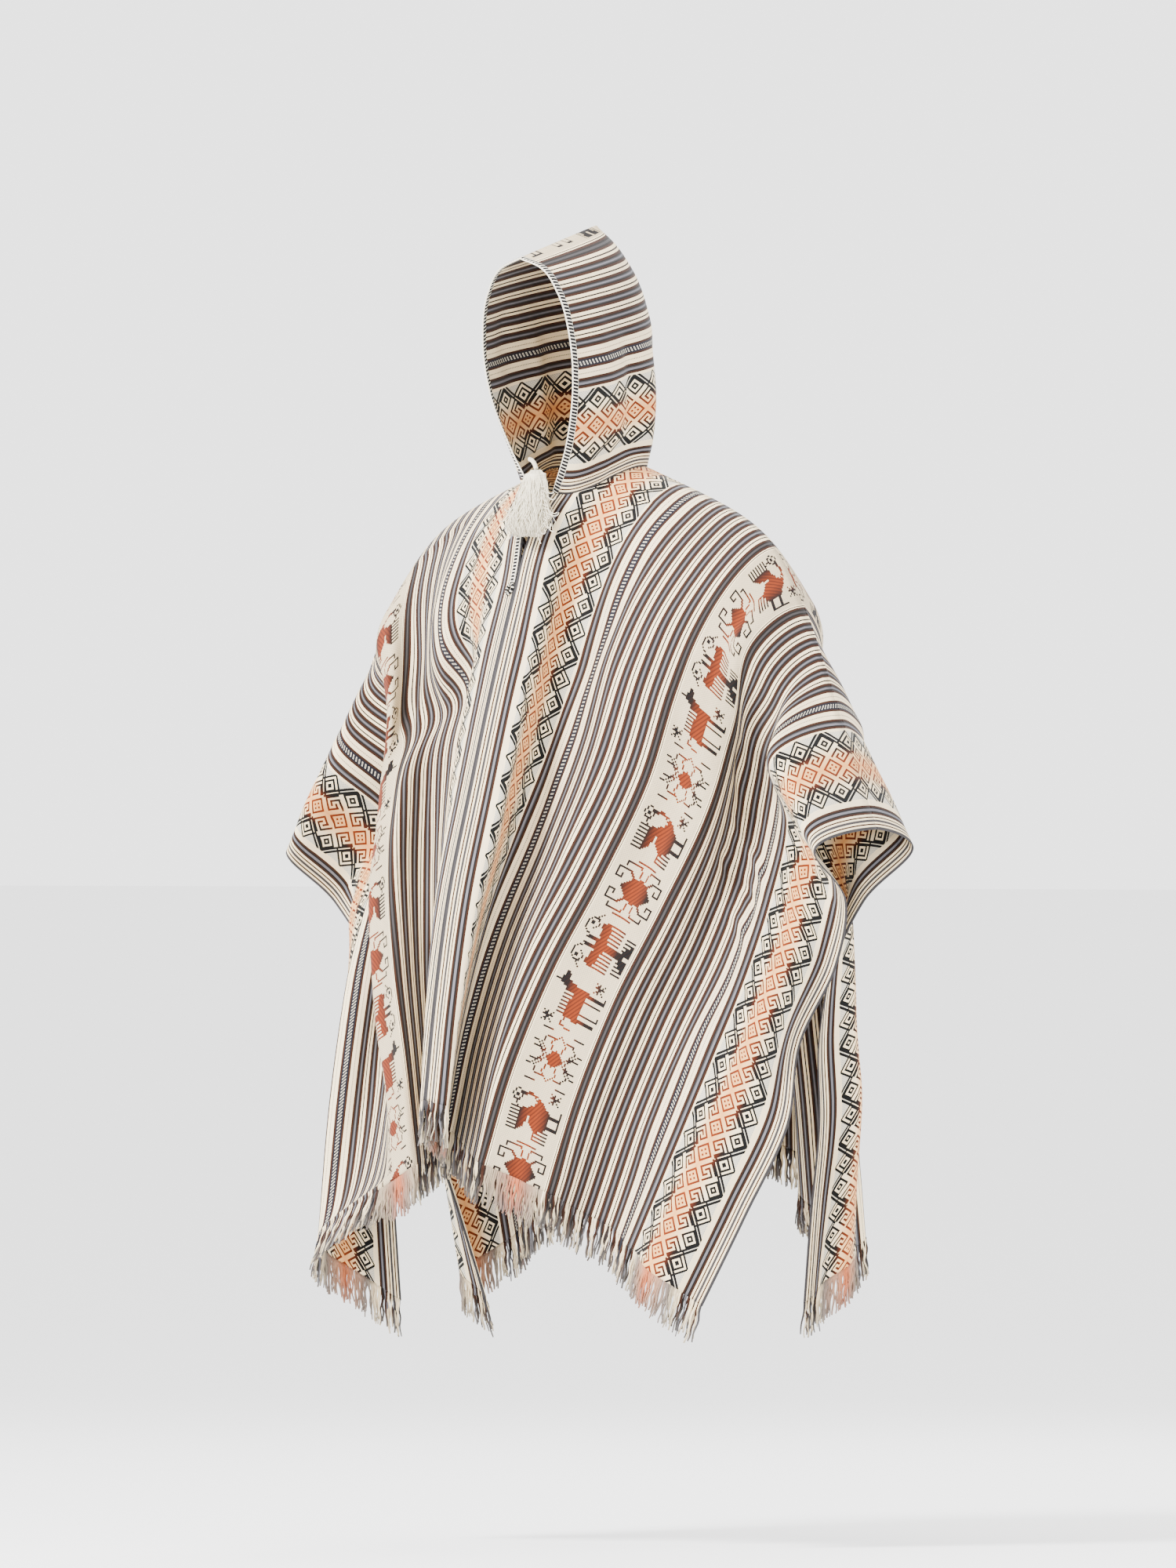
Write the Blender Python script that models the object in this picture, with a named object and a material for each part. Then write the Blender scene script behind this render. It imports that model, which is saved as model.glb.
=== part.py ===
"""A hooded poncho, worn: four loom-width panels, a two-piece hood, edging braid, tassel and warp fringe.

The cloth is worked out from its cut. Each panel has two cloth coordinates: u, the distance from the
middle seam, and v, the distance down from the shoulder seam. A few guide warps say where the cloth
hangs, and the cloth that is left over between two guides goes into the folds listed for that stretch.
+Z is up, the wearer faces -Y and their left is +X. The origin is between the shoulders, at the neck.
"""

import math

import bmesh
import bpy
import numpy as np

# Cut of the cloth, in metres
LOOM_WIDTH = 0.73  # one panel, from the middle seam to the selvedge
PANEL_LENGTH = 0.97  # shoulder seam to hem, without the fringe
FRINGE_LENGTH = 0.055
NECK_HALF_WIDTH = 0.075
NECK_FRONT_DEPTH = 0.12  # how far the neck hole reaches down the front
NECK_BACK_DEPTH = 0.055
SLIT_LENGTH = 0.12
SLIT_HALF_WIDTH = 0.016  # at its top
SLIT_SPREAD_REACH = 0.05  # how far into the panel the slit's opening pushes the cloth
HOOD_HEIGHT = 0.335  # neck seam to top seam, along the cloth
HOOD_SQUARENESS = 2.3  # 2 is an ellipse, seen from above
BRAID_WIDTH = 0.010
BRAID_THICKNESS = 0.0035
BRAID_LIFT = 0.0006  # between the slit braid and the cloth it is sewn on

# Walls and gaps
CLOTH_THICKNESS = 0.0018
FRINGE_THICKNESS = 0.0016
SEAM_GAP = 0.0004  # each edge is drawn back this far at a seam
HOOD_NECK_GAP = 2 * SEAM_GAP
BRAID_NECK_GAP = 5 * SEAM_GAP

# Hang of the cloth
NECK_RISE = 0.02  # height of the shoulder line's middle above the origin
WARP_TILT = math.radians(20.5)  # the shoulder's slope turns each panel this far
WARP_STEEPNESS = 0.965  # height lost for each metre of the middle seam
HEM_RISE = 0.055  # how much less the outer warps have fallen at the hem
SHOULDER_EASE = 0.065  # height saved where the cloth passes over the shoulder
SHOULDER_EASE_REACH = 0.065
SHOULDER_POINT = 0.29  # u where the seam leaves the shoulder and falls along the arm
SHOULDER_ROUNDING = 0.035
# How far the folds beside the middle seam lean to the wearer's left
FRONT_LEFT_LEAN = math.radians(46)
FRONT_RIGHT_LEAN = math.radians(24)
BACK_LEAN = math.radians(-12)
SAG_REACH = 0.27  # how far down the panel the sleeve's extra drop fades

# Grid of each piece
PANEL_COLUMNS = 20
PANEL_ROWS = 19
NECK_ROWS = {-1: 5, 1: 4}  # rows beside the neck hole, at the front and at the back
SLIT_ROWS = 3
# rows of the panel, counted from the neck hole's end, where the slit braid has its own
SLIT_BRAID_ROWS = (0.3, 1, 2, 3, 3.25)
HOOD_ROWS = 13
BRAID_ROWS = 24
FRINGE_ROWS = (0.5, 1.0)  # shares of the fringe's length
TASSEL_SIDES = 14
TIE_SIDES = 8

# Guide warps. Each row is one depth down the panel, as a share of its length. x is measured away from the
# middle plane and y forwards, so all four panels read alike. "mid" lies in the animal band, "turn" near
# the outer lattice and "edge" is the selvedge.
GUIDE_SHARES = {"middle": 0.0, "mid": 0.49, "turn": 0.80, "edge": 1.0}
# depth, middle_x, middle_y, mid_x, mid_y, turn_x, turn_y, edge_x, edge_y
FRONT_LEFT = (
    (0.00, 0.000, 0.000, 0.318, 0.000, 0.411, 0.000, 0.466, 0.000),
    (0.13, 0.000, 0.128, 0.298, 0.085, 0.372, 0.105, 0.455, 0.118),
    (0.28, -0.004, 0.182, 0.246, 0.098, 0.330, 0.020, 0.438, 0.030),
    (0.42, -0.012, 0.222, 0.205, 0.105, 0.318, 0.040, 0.398, 0.000),
    (0.56, -0.022, 0.254, 0.155, 0.135, 0.300, 0.075, 0.362, 0.030),
    (0.70, -0.034, 0.282, 0.102, 0.172, 0.265, 0.105, 0.368, 0.065),
    (0.85, -0.044, 0.300, 0.060, 0.205, 0.222, 0.132, 0.325, 0.100),
    (1.00, -0.052, 0.312, 0.030, 0.228, 0.180, 0.160, 0.278, 0.135),
)
FRONT_RIGHT = (
    (0.00, 0.000, 0.000, 0.318, 0.000, 0.411, 0.000, 0.466, 0.020),
    (0.13, 0.000, 0.128, 0.296, 0.085, 0.380, 0.105, 0.450, 0.110),
    (0.28, 0.004, 0.182, 0.268, 0.118, 0.330, 0.030, 0.430, 0.030),
    (0.42, 0.012, 0.222, 0.268, 0.132, 0.335, 0.075, 0.385, 0.005),
    (0.56, 0.022, 0.254, 0.262, 0.150, 0.338, 0.110, 0.345, 0.020),
    (0.70, 0.034, 0.282, 0.232, 0.178, 0.340, 0.138, 0.318, 0.050),
    (0.85, 0.044, 0.300, 0.185, 0.215, 0.338, 0.162, 0.288, 0.078),
    (1.00, 0.052, 0.312, 0.142, 0.248, 0.334, 0.182, 0.262, 0.098),
)
BACK_LEFT = (
    (0.00, 0.000, 0.000, 0.318, 0.000, 0.411, 0.000, 0.466, 0.000),
    (0.13, 0.000, 0.100, 0.300, 0.082, 0.380, 0.090, 0.455, 0.095),
    (0.28, 0.000, 0.142, 0.268, 0.112, 0.335, 0.040, 0.430, 0.020),
    (0.42, 0.004, 0.176, 0.245, 0.132, 0.328, 0.058, 0.385, 0.010),
    (0.56, 0.008, 0.206, 0.225, 0.156, 0.322, 0.085, 0.350, 0.025),
    (0.70, 0.012, 0.234, 0.205, 0.182, 0.316, 0.112, 0.330, 0.052),
    (0.85, 0.015, 0.258, 0.188, 0.206, 0.312, 0.138, 0.294, 0.080),
    (1.00, 0.018, 0.276, 0.172, 0.228, 0.308, 0.160, 0.258, 0.112),
)
BACK_RIGHT = (
    (0.00, 0.000, 0.000, 0.318, 0.000, 0.411, 0.000, 0.466, -0.020),
    (0.13, 0.000, 0.100, 0.302, 0.080, 0.378, 0.088, 0.455, 0.088),
    (0.28, 0.000, 0.142, 0.262, 0.110, 0.332, 0.036, 0.428, 0.022),
    (0.42, -0.004, 0.176, 0.235, 0.134, 0.324, 0.060, 0.388, 0.006),
    (0.56, -0.008, 0.206, 0.210, 0.160, 0.315, 0.088, 0.352, 0.030),
    (0.70, -0.012, 0.234, 0.188, 0.186, 0.306, 0.114, 0.338, 0.055),
    (0.85, -0.015, 0.258, 0.168, 0.210, 0.298, 0.140, 0.312, 0.085),
    (1.00, -0.018, 0.276, 0.150, 0.232, 0.290, 0.162, 0.290, 0.118),
)
# Folds that take up the cloth to spare between two guides: where along the stretch and how wide, at the
# shoulder and at the hem, and its share on the chest and below it, which is positive for a ridge that
# stands out and negative for a valley
# stretch, top_place, hem_place, top_width, hem_width, chest_share, low_share
FRONT_LEFT_FOLDS = (
    (0, 0.12, 0.24, 0.12, 0.22, 0.14, 0.14),
    (0, 0.28, 0.52, 0.20, 0.24, -1.00, -1.00),
    (1, 0.30, 0.30, 0.30, 0.28, 0.30, 0.30),
    (1, 0.66, 0.68, 0.36, 0.34, -1.00, -1.00),
    (2, 0.45, 0.45, 0.45, 0.45, 1.00, 1.00),
)
FRONT_RIGHT_FOLDS = (
    (0, 0.12, 0.20, 0.12, 0.20, 0.00, 0.06),
    (0, 0.40, 0.54, 0.30, 0.36, 0.00, -1.00),
    (0, 0.76, 0.72, 0.26, 0.26, -1.00, 0.00),
    (1, 0.55, 0.50, 0.40, 0.45, -1.00, -1.00),
    (2, 0.45, 0.45, 0.45, 0.45, 1.00, 1.00),
)
BACK_LEFT_FOLDS = (
    (0, 0.44, 0.36, 0.40, 0.32, -1.00, -1.00),
    (0, 0.84, 0.76, 0.16, 0.24, 0.30, 0.30),
    (1, 0.52, 0.38, 0.40, 0.36, -1.00, -1.00),
    (1, 0.88, 0.80, 0.12, 0.20, 0.30, 0.30),
    (2, 0.45, 0.45, 0.45, 0.45, 1.00, 1.00),
)
BACK_RIGHT_FOLDS = (
    (0, 0.36, 0.30, 0.34, 0.28, -1.00, -1.00),
    (0, 0.76, 0.66, 0.24, 0.30, 0.45, 0.45),
    (1, 0.56, 0.52, 0.40, 0.42, -1.00, -1.00),
    (2, 0.50, 0.50, 0.45, 0.45, 1.00, 1.00),
)
# side is +1 on the wearer's left, front is -1 at the front (towards -Y), sag is the arm end's extra drop
PANELS = {
    "front_left": dict(
        side=1, front=-1, sag=0.255, lean=FRONT_LEFT_LEAN, guides=FRONT_LEFT, folds=FRONT_LEFT_FOLDS
    ),
    "front_right": dict(
        side=-1, front=-1, sag=0.268, lean=FRONT_RIGHT_LEAN, guides=FRONT_RIGHT, folds=FRONT_RIGHT_FOLDS
    ),
    "back_left": dict(
        side=1, front=1, sag=0.255, lean=BACK_LEAN, guides=BACK_LEFT, folds=BACK_LEFT_FOLDS
    ),
    "back_right": dict(
        side=-1, front=1, sag=0.268, lean=BACK_LEAN, guides=BACK_RIGHT, folds=BACK_RIGHT_FOLDS
    ),
}
SECTION_SAMPLES = 96
FOLD_END = 0.12  # folds fade out over this share of a stretch at each end
FOLD_ROUNDNESS = 1.35  # above 1, a fold has a blunter tip
CHEST_END = 0.20  # depth, as a share of the panel's length, down to which a fold has its chest share
CHEST_FADE = 0.24
MOST_FOLD = 0.2  # no fold is deeper
FOLD_HALVINGS = 24  # steps of the search for a stretch's fold depth

# The hood's edges, level by level from the neck seam (0) to the top seam (1): the face opening's edge, the
# back seam and the half width between them. x is away from the middle plane, y forwards and z up.
# level, face_x, face_y, face_z, back_y, back_z, half_width
HOOD = (
    (0.00, 0.016, 0.126, -0.041, -0.070, 0.004, 0.078),
    (0.20, 0.047, 0.136, 0.020, -0.084, 0.068, 0.081),
    (0.42, 0.070, 0.150, 0.092, -0.082, 0.140, 0.084),
    (0.62, 0.074, 0.160, 0.160, -0.068, 0.208, 0.081),
    (0.80, 0.060, 0.168, 0.222, -0.040, 0.266, 0.066),
    (0.92, 0.034, 0.172, 0.257, -0.012, 0.301, 0.038),
    (1.00, 0.000, 0.174, 0.270, 0.008, 0.317, 0.000),
)

# The tassel and its tie
TASSEL_TOP = (0.015, -0.157, -0.012)
TASSEL_LENGTH = 0.088
TASSEL_FORWARD = 0.22  # it rests on the chest, so its tip stands this share of its length further forward
# down (a share of its length), half_width, half_depth
TASSEL = (
    (0.00, 0.006, 0.006),
    (0.08, 0.013, 0.011),
    (0.25, 0.019, 0.014),
    (0.55, 0.025, 0.017),
    (0.85, 0.026, 0.016),
    (1.00, 0.020, 0.011),
)
TIE_RADIUS = 0.003
TIE_ROUTE = (
    (-0.010, -0.139, 0.003),
    (0.002, -0.149, 0.001),
    (0.011, -0.156, -0.003),
    (0.015, -0.157, -0.010),
)

MATERIALS = {
    "cloth": dict(color=(0.56, 0.50, 0.44), roughness=0.9),
    "braid": dict(color=(0.62, 0.62, 0.58), roughness=0.85),
    "wool": dict(color=(0.88, 0.85, 0.76), roughness=0.95),
    "fringe": dict(color=(0.50, 0.46, 0.43), roughness=0.95),
}


def smooth_between(rows, at):
    """Values of a table at `at`, smoothly (Catmull-Rom) between its rows. The first column is the place."""
    table = np.array(rows, float)
    place, values = table[:, 0], table[:, 1:]
    slopes = np.gradient(values, place, axis=0)
    at = np.atleast_1d(np.asarray(at, float))
    low = np.clip(np.searchsorted(place, at, side="right") - 1, 0, len(place) - 2)
    step = (place[low + 1] - place[low])[:, None]
    t = ((at - place[low])[:, None]) / step
    return (
        (2 * t**3 - 3 * t**2 + 1) * values[low]
        + (t**3 - 2 * t**2 + t) * step * slopes[low]
        + (3 * t**2 - 2 * t**3) * values[low + 1]
        + (t**3 - t**2) * step * slopes[low + 1]
    )


def sag_at(u, sag):
    """Extra drop along the shoulder seam past the shoulder point, easing in over a round shoulder."""
    past = u - SHOULDER_POINT
    soft = SHOULDER_ROUNDING * np.logaddexp(0.0, past / SHOULDER_ROUNDING)
    whole = LOOM_WIDTH - SHOULDER_POINT
    return sag * soft / whole


def height_at(u, v, sag):
    """Height of the cloth at (u, v)."""
    ease = SHOULDER_EASE * (1 - (u / LOOM_WIDTH) ** 2) * (1 - math.exp(-v / SHOULDER_EASE_REACH))
    outward = 1 - (1 - u / LOOM_WIDTH) ** 2
    rise = HEM_RISE * outward * min(v / PANEL_LENGTH, 1) ** 2
    fall = WARP_STEEPNESS * v - ease - rise
    return NECK_RISE - fall - math.sin(WARP_TILT) * u - sag_at(u, sag) * math.exp(-v / SAG_REACH)


def fold_profile(folds, stretch, t, depth):
    """Shape of the folds along one stretch at this depth, before it is scaled, and zero at both ends."""
    profile = np.zeros_like(t)
    below_chest = smooth_step((depth - CHEST_END) / CHEST_FADE)
    for fold_stretch, top_place, hem_place, top_width, hem_width, chest_share, low_share in folds:
        if fold_stretch == stretch:
            place = top_place + (hem_place - top_place) * depth
            width = top_width + (hem_width - top_width) * depth
            share = chest_share + (low_share - chest_share) * below_chest
            near = np.clip(np.abs(t - place) / width, 0, 1)
            profile += share * np.cos(near**FOLD_ROUNDNESS * math.pi / 2) ** 2
    return profile * smooth_step(np.minimum(t, 1 - t) / FOLD_END)


def smooth_step(x):
    x = np.clip(x, 0, 1)
    return x * x * (3 - 2 * x)


def run_length(points):
    return np.linalg.norm(np.diff(points, axis=0), axis=1).sum()


def section(panel, v):
    """Plan (x, y) of the whole weft thread at depth v, and the cloth distance u of each of its points."""
    guides = smooth_between(panel["guides"], v / PANEL_LENGTH)[0].reshape(-1, 2)
    shares = np.array(list(GUIDE_SHARES.values()))
    u_fine = np.linspace(0, LOOM_WIDTH, SECTION_SAMPLES + 1)
    height = height_at(u_fine, v, panel["sag"])
    level_step = np.sqrt(np.clip(np.diff(u_fine) ** 2 - np.diff(height) ** 2, 1e-10, None))
    level_run = np.concatenate([[0], np.cumsum(level_step)])
    stops = np.interp(shares * LOOM_WIDTH, u_fine, level_run)
    base = np.column_stack([stops, guides])
    points, places = [], []
    for stretch in range(len(stops) - 1):
        t = np.linspace(0, 1, SECTION_SAMPLES // 2 + 1)
        run = stops[stretch] + t * (stops[stretch + 1] - stops[stretch])
        line = smooth_between(base, run)
        along = np.gradient(line, axis=0)
        along /= np.linalg.norm(along, axis=1)[:, None]
        outward = np.column_stack([-along[:, 1], along[:, 0]])
        if stretch == 0:  # a set lean keeps the two halves from crossing at the seam
            lean = panel["side"] * panel["lean"]
            outward = np.array([[math.sin(lean), math.cos(lean)]])
        profile = fold_profile(panel["folds"], stretch, t, v / PANEL_LENGTH)[:, None]
        wanted = stops[stretch + 1] - stops[stretch]
        low, high = 0.0, MOST_FOLD
        for _ in range(FOLD_HALVINGS):
            middle = (low + high) / 2
            if run_length(line + middle * profile * outward) < wanted:
                low = middle
            else:
                high = middle
        curve = line + low * profile * outward
        steps = np.linalg.norm(np.diff(curve, axis=0), axis=1)
        share = np.concatenate([[0], np.cumsum(steps)]) / steps.sum()
        keep = slice(None) if stretch == 0 else slice(1, None)
        points.append(curve[keep])
        places.append((stops[stretch] + share * wanted)[keep])
    return np.concatenate(points), np.interp(np.concatenate(places), level_run, u_fine)


def neck_edge(v, front):
    """u of the neck hole's edge at depth v."""
    depth = NECK_FRONT_DEPTH if front < 0 else NECK_BACK_DEPTH
    inside = 1 - (v / depth) ** 2
    return NECK_HALF_WIDTH * math.sqrt(inside) if inside > 0 else 0.0


def slit_spread(v, front):
    """How far each edge of the front slit stands from the middle plane."""
    past = (v - NECK_FRONT_DEPTH) / SLIT_LENGTH
    if front > 0 or past > 1:
        return 0.0
    return SLIT_HALF_WIDTH * (1 - max(past, 0.0)) ** 1.5


def panel_depths(front):
    """Depths of the grid's rows, close together at the neck hole, with one at its end."""
    depth = NECK_FRONT_DEPTH if front < 0 else NECK_BACK_DEPTH
    at_neck = NECK_ROWS[front]
    near = depth * np.sin(np.linspace(0, math.pi / 2, at_neck + 1))
    if front < 0:
        slit = depth + SLIT_LENGTH * np.linspace(0, 1, SLIT_ROWS + 1)[1:]
        near = np.concatenate([near, slit])
    below = np.linspace(near[-1], PANEL_LENGTH, PANEL_ROWS - len(near) + 2)[1:]
    return np.concatenate([near, below])


def panel_points(panel, depths, columns):
    """Middle surface of a panel: an array of rows down the panel, columns out from the middle seam."""
    grid = np.zeros((len(depths), columns + 1, 3))
    for row, v in enumerate(depths):
        plan, place = section(panel, min(v, PANEL_LENGTH))
        start = neck_edge(v, panel["front"])
        u = start + (LOOM_WIDTH - start) * np.linspace(0, 1, columns + 1)
        x = np.interp(u, place, plan[:, 0])
        y = np.interp(u, place, plan[:, 1])
        fade = np.exp(-((u / SLIT_SPREAD_REACH) ** 2))
        x = x + slit_spread(v, panel["front"]) * fade
        grid[row, :, 0] = panel["side"] * x
        grid[row, :, 1] = panel["front"] * y
        grid[row, :, 2] = height_at(u, v, panel["sag"])
    return grid


def grid_normals(grid, outward):
    """Unit normals of a grid of points; outward is +1 or -1."""
    down = np.gradient(grid, axis=0)
    across = np.gradient(grid, axis=1)
    normals = np.cross(across, down) * outward
    return normals / np.linalg.norm(normals, axis=2)[:, :, None]


def shared(*normals):
    """One unit normal for edges that meet."""
    total = sum(normals)
    return total / np.linalg.norm(total, axis=-1)[..., None]


def drawn_back(edge, inner, by=SEAM_GAP):
    """Edge points moved towards the next row of their own piece."""
    away = inner - edge
    return edge + by * away / np.linalg.norm(away, axis=-1)[..., None]


def hood_level(level, shares, first):
    """Points of the hood's left half at this level. shares go from the face (0) round to the back seam (1),
    and the first point is instead at a distance `first` from the face opening's edge."""
    face_x, face_y, face_z, back_y, back_z, half = smooth_between(HOOD, level)[0]
    power = 2 / HOOD_SQUARENESS
    start = math.asin(min(1.0, (face_x / half) ** (1 / power))) if half > 1e-4 else math.pi / 2
    angle = np.linspace(start, math.pi, SECTION_SAMPLES)
    x = half * np.sin(angle) ** power
    forward = np.sign(np.cos(angle)) * np.abs(np.cos(angle)) ** power
    y = back_y + (face_y - back_y) * (forward + 1) / (forward[0] + 1)
    run = np.concatenate([[0], np.cumsum(np.hypot(np.diff(x), np.diff(y)))])
    z = face_z + (back_z - face_z) * run / run[-1]
    at = np.array(shares) * run[-1]
    at[0] = first
    return np.column_stack([np.interp(at, run, x), -np.interp(at, run, y), np.interp(at, run, z)])


def hood_points(neck, rows, columns, first):
    """Middle surface of the hood's left half, standing on the neck hole's edge, from `first` to the back
    seam. columns are the shares of the way round."""
    run = np.concatenate([[0], np.cumsum(np.linalg.norm(np.diff(neck, axis=0), axis=1))])
    at = np.array(columns) * run[-1]
    at[0] = first
    base = np.column_stack([np.interp(at, run, neck[:, axis]) for axis in range(3)])
    levels = np.linspace(0, 1, rows + 1)
    grid = np.array([hood_level(level, columns, first) for level in levels])
    return grid + (base - grid[0]) * (1 - levels)[:, None, None] ** 3


def make_mesh(name, points, faces, material):
    mesh = bpy.data.meshes.new(name)
    mesh.from_pydata(points.tolist(), [], faces)
    bm = bmesh.new()
    bm.from_mesh(mesh)
    bmesh.ops.triangulate(bm, faces=bm.faces[:])
    bmesh.ops.recalc_face_normals(bm, faces=bm.faces[:])
    bm.to_mesh(mesh)
    bm.free()
    for face in mesh.polygons:
        face.use_smooth = True
    mesh.materials.append(material_of(material))
    piece = bpy.data.objects.new(name, mesh)
    bpy.context.scene.collection.objects.link(piece)
    return piece


def make_solid(name, outer, inner, material):
    """A closed mesh between two grids of points."""
    rows, columns = outer.shape[:2]
    index = np.arange(rows * columns).reshape(rows, columns)
    below = index + rows * columns
    faces = []

    def strip(a, b):
        for i in range(len(a) - 1):
            faces.append((a[i], b[i], b[i + 1], a[i + 1]))

    for row in range(rows - 1):
        strip(index[row], index[row + 1])
        strip(below[row + 1], below[row])
    strip(below[0], index[0])
    strip(index[-1], below[-1])
    strip(index[:, 0], below[:, 0])
    strip(below[:, -1], index[:, -1])
    points = np.concatenate([outer.reshape(-1, 3), inner.reshape(-1, 3)])
    return make_mesh(name, points, faces, material)


def make_wall(name, grid, normals, thickness, material):
    return make_solid(name, grid + normals * thickness / 2, grid - normals * thickness / 2, material)


def material_of(name):
    if name in bpy.data.materials:
        return bpy.data.materials[name]
    facts = MATERIALS[name]
    material = bpy.data.materials.new(name)
    material.use_nodes = True
    shader = material.node_tree.nodes["Principled BSDF"]
    shader.inputs["Base Color"].default_value = (*facts["color"], 1)
    shader.inputs["Roughness"].default_value = facts["roughness"]
    return material


def lay_panels():
    """Grid, normals and number of cloth rows of each panel; the rows past the hem are its fringe."""
    grids, normals, hems = {}, {}, {}
    for name, panel in PANELS.items():
        rows = panel_depths(panel["front"])
        fringe = PANEL_LENGTH + np.array(FRINGE_ROWS) * FRINGE_LENGTH
        hems[name] = len(rows)
        grids[name] = panel_points(panel, np.concatenate([rows, fringe]), PANEL_COLUMNS)
        normals[name] = grid_normals(grids[name], panel["side"] * panel["front"])
    for side in ("left", "right"):
        front, back = normals["front_" + side], normals["back_" + side]
        front[0] = back[0] = shared(front[0], back[0])
    for face, slit in (("front", SLIT_ROWS), ("back", 0)):
        left, right = normals[face + "_left"], normals[face + "_right"]
        joined = np.s_[NECK_ROWS[PANELS[face + "_left"]["front"]] + slit :, 0]
        left[joined] = right[joined] = shared(left[joined], right[joined])
    return grids, normals, hems


def build_panels(grids, normals, hems):
    for name in PANELS:
        grid, normal, hem = grids[name].copy(), normals[name], hems[name]
        grid[0] = drawn_back(grid[0], grid[1])
        grid[:, 0] = drawn_back(grid[:, 0], grid[:, 1])
        make_wall(name, grid[:hem], normal[:hem], CLOTH_THICKNESS, "cloth")
        fringe = grid[hem - 1 :].copy()
        fringe[0] = drawn_back(fringe[0], fringe[1])
        make_wall("fringe_" + name, fringe, normal[hem - 1 :], FRINGE_THICKNESS, "fringe")


def neck_parts(arrays, side):
    """The rows of both panels beside the neck hole on one side, from the slit round to the back seam."""
    front = arrays["front_" + side][NECK_ROWS[-1] :: -1, 0]
    back = arrays["back_" + side][1 : NECK_ROWS[1] + 1, 0]
    return np.concatenate([front, back])


def share_neck_normals(normals, side, hood_normal):
    """Turns the neck edges of both panels and of the hood alike, so that their ends stay parallel."""
    both = shared(hood_normal[0], neck_parts(normals, side))
    hood_normal[0] = both
    normals["front_" + side][NECK_ROWS[-1] :: -1, 0] = both[: NECK_ROWS[-1] + 1]
    normals["back_" + side][: NECK_ROWS[1] + 1, 0] = both[NECK_ROWS[-1] :]


def on_middle(grid, normal, line, sign):
    """Brings one line of a half hood to the middle plane, clear of the other half."""
    normal[line] = shared(normal[line] * [0, 1, 1])
    grid[line] = grid[line] * [0, 1, 1] + [sign * SEAM_GAP, 0, 0]


def build_hood(grids, normals):
    """Two sides, standing on the neck hole's edge."""
    for side, sign in (("left", 1), ("right", -1)):
        neck = neck_parts(grids, side) * [sign, 1, 1]
        run = np.concatenate([[0], np.cumsum(np.linalg.norm(np.diff(neck, axis=0), axis=1))])
        grid = hood_points(neck, HOOD_ROWS, run / run[-1], BRAID_WIDTH + HOOD_NECK_GAP) * [sign, 1, 1]
        normal = grid_normals(grid, sign)
        share_neck_normals(normals, side, normal)
        grid[0] = drawn_back(grid[0], grid[1], HOOD_NECK_GAP)
        on_middle(grid, normal, np.s_[:, -1], sign)
        on_middle(grid, normal, np.s_[-1, :], sign)
        make_wall("hood_" + side, grid, normal, CLOTH_THICKNESS, "cloth")


def build_hood_braid(grids):
    """One band round the face, from the slit's right corner over the top to its left corner."""
    bands, band_normals = [], []
    for side, sign in (("left", 1), ("right", -1)):
        neck = neck_parts(grids, side) * [sign, 1, 1]
        outer = hood_points(neck, BRAID_ROWS, (0, 0.5, 1), 0)[:, 0]
        inner = hood_points(neck, BRAID_ROWS, (0, 0.5, 1), BRAID_WIDTH)[:, 0]
        band = np.stack([outer, inner], axis=1) * [sign, 1, 1]
        band[0] = drawn_back(band[0], band[1], BRAID_NECK_GAP)
        normal = grid_normals(band, sign)
        normal[-1] = shared(normal[-1] * [0, 1, 1])
        bands.append(band if sign == 1 else band[-2::-1])
        band_normals.append(normal if sign == 1 else normal[-2::-1])
    band, normal = np.concatenate(bands), np.concatenate(band_normals)
    make_wall("hood_braid", band, normal, BRAID_THICKNESS, "braid")


def read_grid(grid, rows, columns):
    """Values of a grid between its points, at fractions of a row and of a column."""
    low_row = np.clip(np.floor(rows).astype(int), 0, grid.shape[0] - 2)
    low_column = np.clip(np.floor(columns).astype(int), 0, grid.shape[1] - 2)
    down = (rows - low_row)[:, None, None]
    across = (columns - low_column)[None, :, None]
    above, below = grid[low_row], grid[low_row + 1]
    above = above[:, low_column] * (1 - across) + above[:, low_column + 1] * across
    below = below[:, low_column] * (1 - across) + below[:, low_column + 1] * across
    return above * (1 - down) + below * down


def build_slit_braid(grids, normals):
    """A ribbon on the right panel, along the slit's edge and past its end."""
    rows = NECK_ROWS[-1] + np.array(SLIT_BRAID_ROWS)
    columns = np.array([0, BRAID_WIDTH * PANEL_COLUMNS / LOOM_WIDTH])
    grid = read_grid(grids["front_right"], rows, columns)
    normal = read_grid(normals["front_right"], rows, columns)
    normal /= np.linalg.norm(normal, axis=2)[:, :, None]
    lift = CLOTH_THICKNESS / 2 + BRAID_LIFT + BRAID_THICKNESS / 2
    make_wall("slit_braid", grid + normal * lift, normal, BRAID_THICKNESS, "braid")


def make_rings(name, centres, axes_x, axes_y, sides, material):
    """A closed body through rings: each has a centre and two half axes."""
    turn = np.linspace(0, 2 * math.pi, sides, endpoint=False)[None, :, None]
    rings = centres[:, None] + np.cos(turn) * axes_x[:, None] + np.sin(turn) * axes_y[:, None]
    rows = len(centres)
    points = rings.reshape(-1, 3)
    index = np.arange(rows * sides).reshape(rows, sides)
    faces = [tuple(index[0][::-1]), tuple(index[-1])]
    for row in range(rows - 1):
        for i in range(sides):
            j = (i + 1) % sides
            faces.append((index[row, i], index[row, j], index[row + 1, j], index[row + 1, i]))
    return make_mesh(name, points, faces, material)


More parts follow.
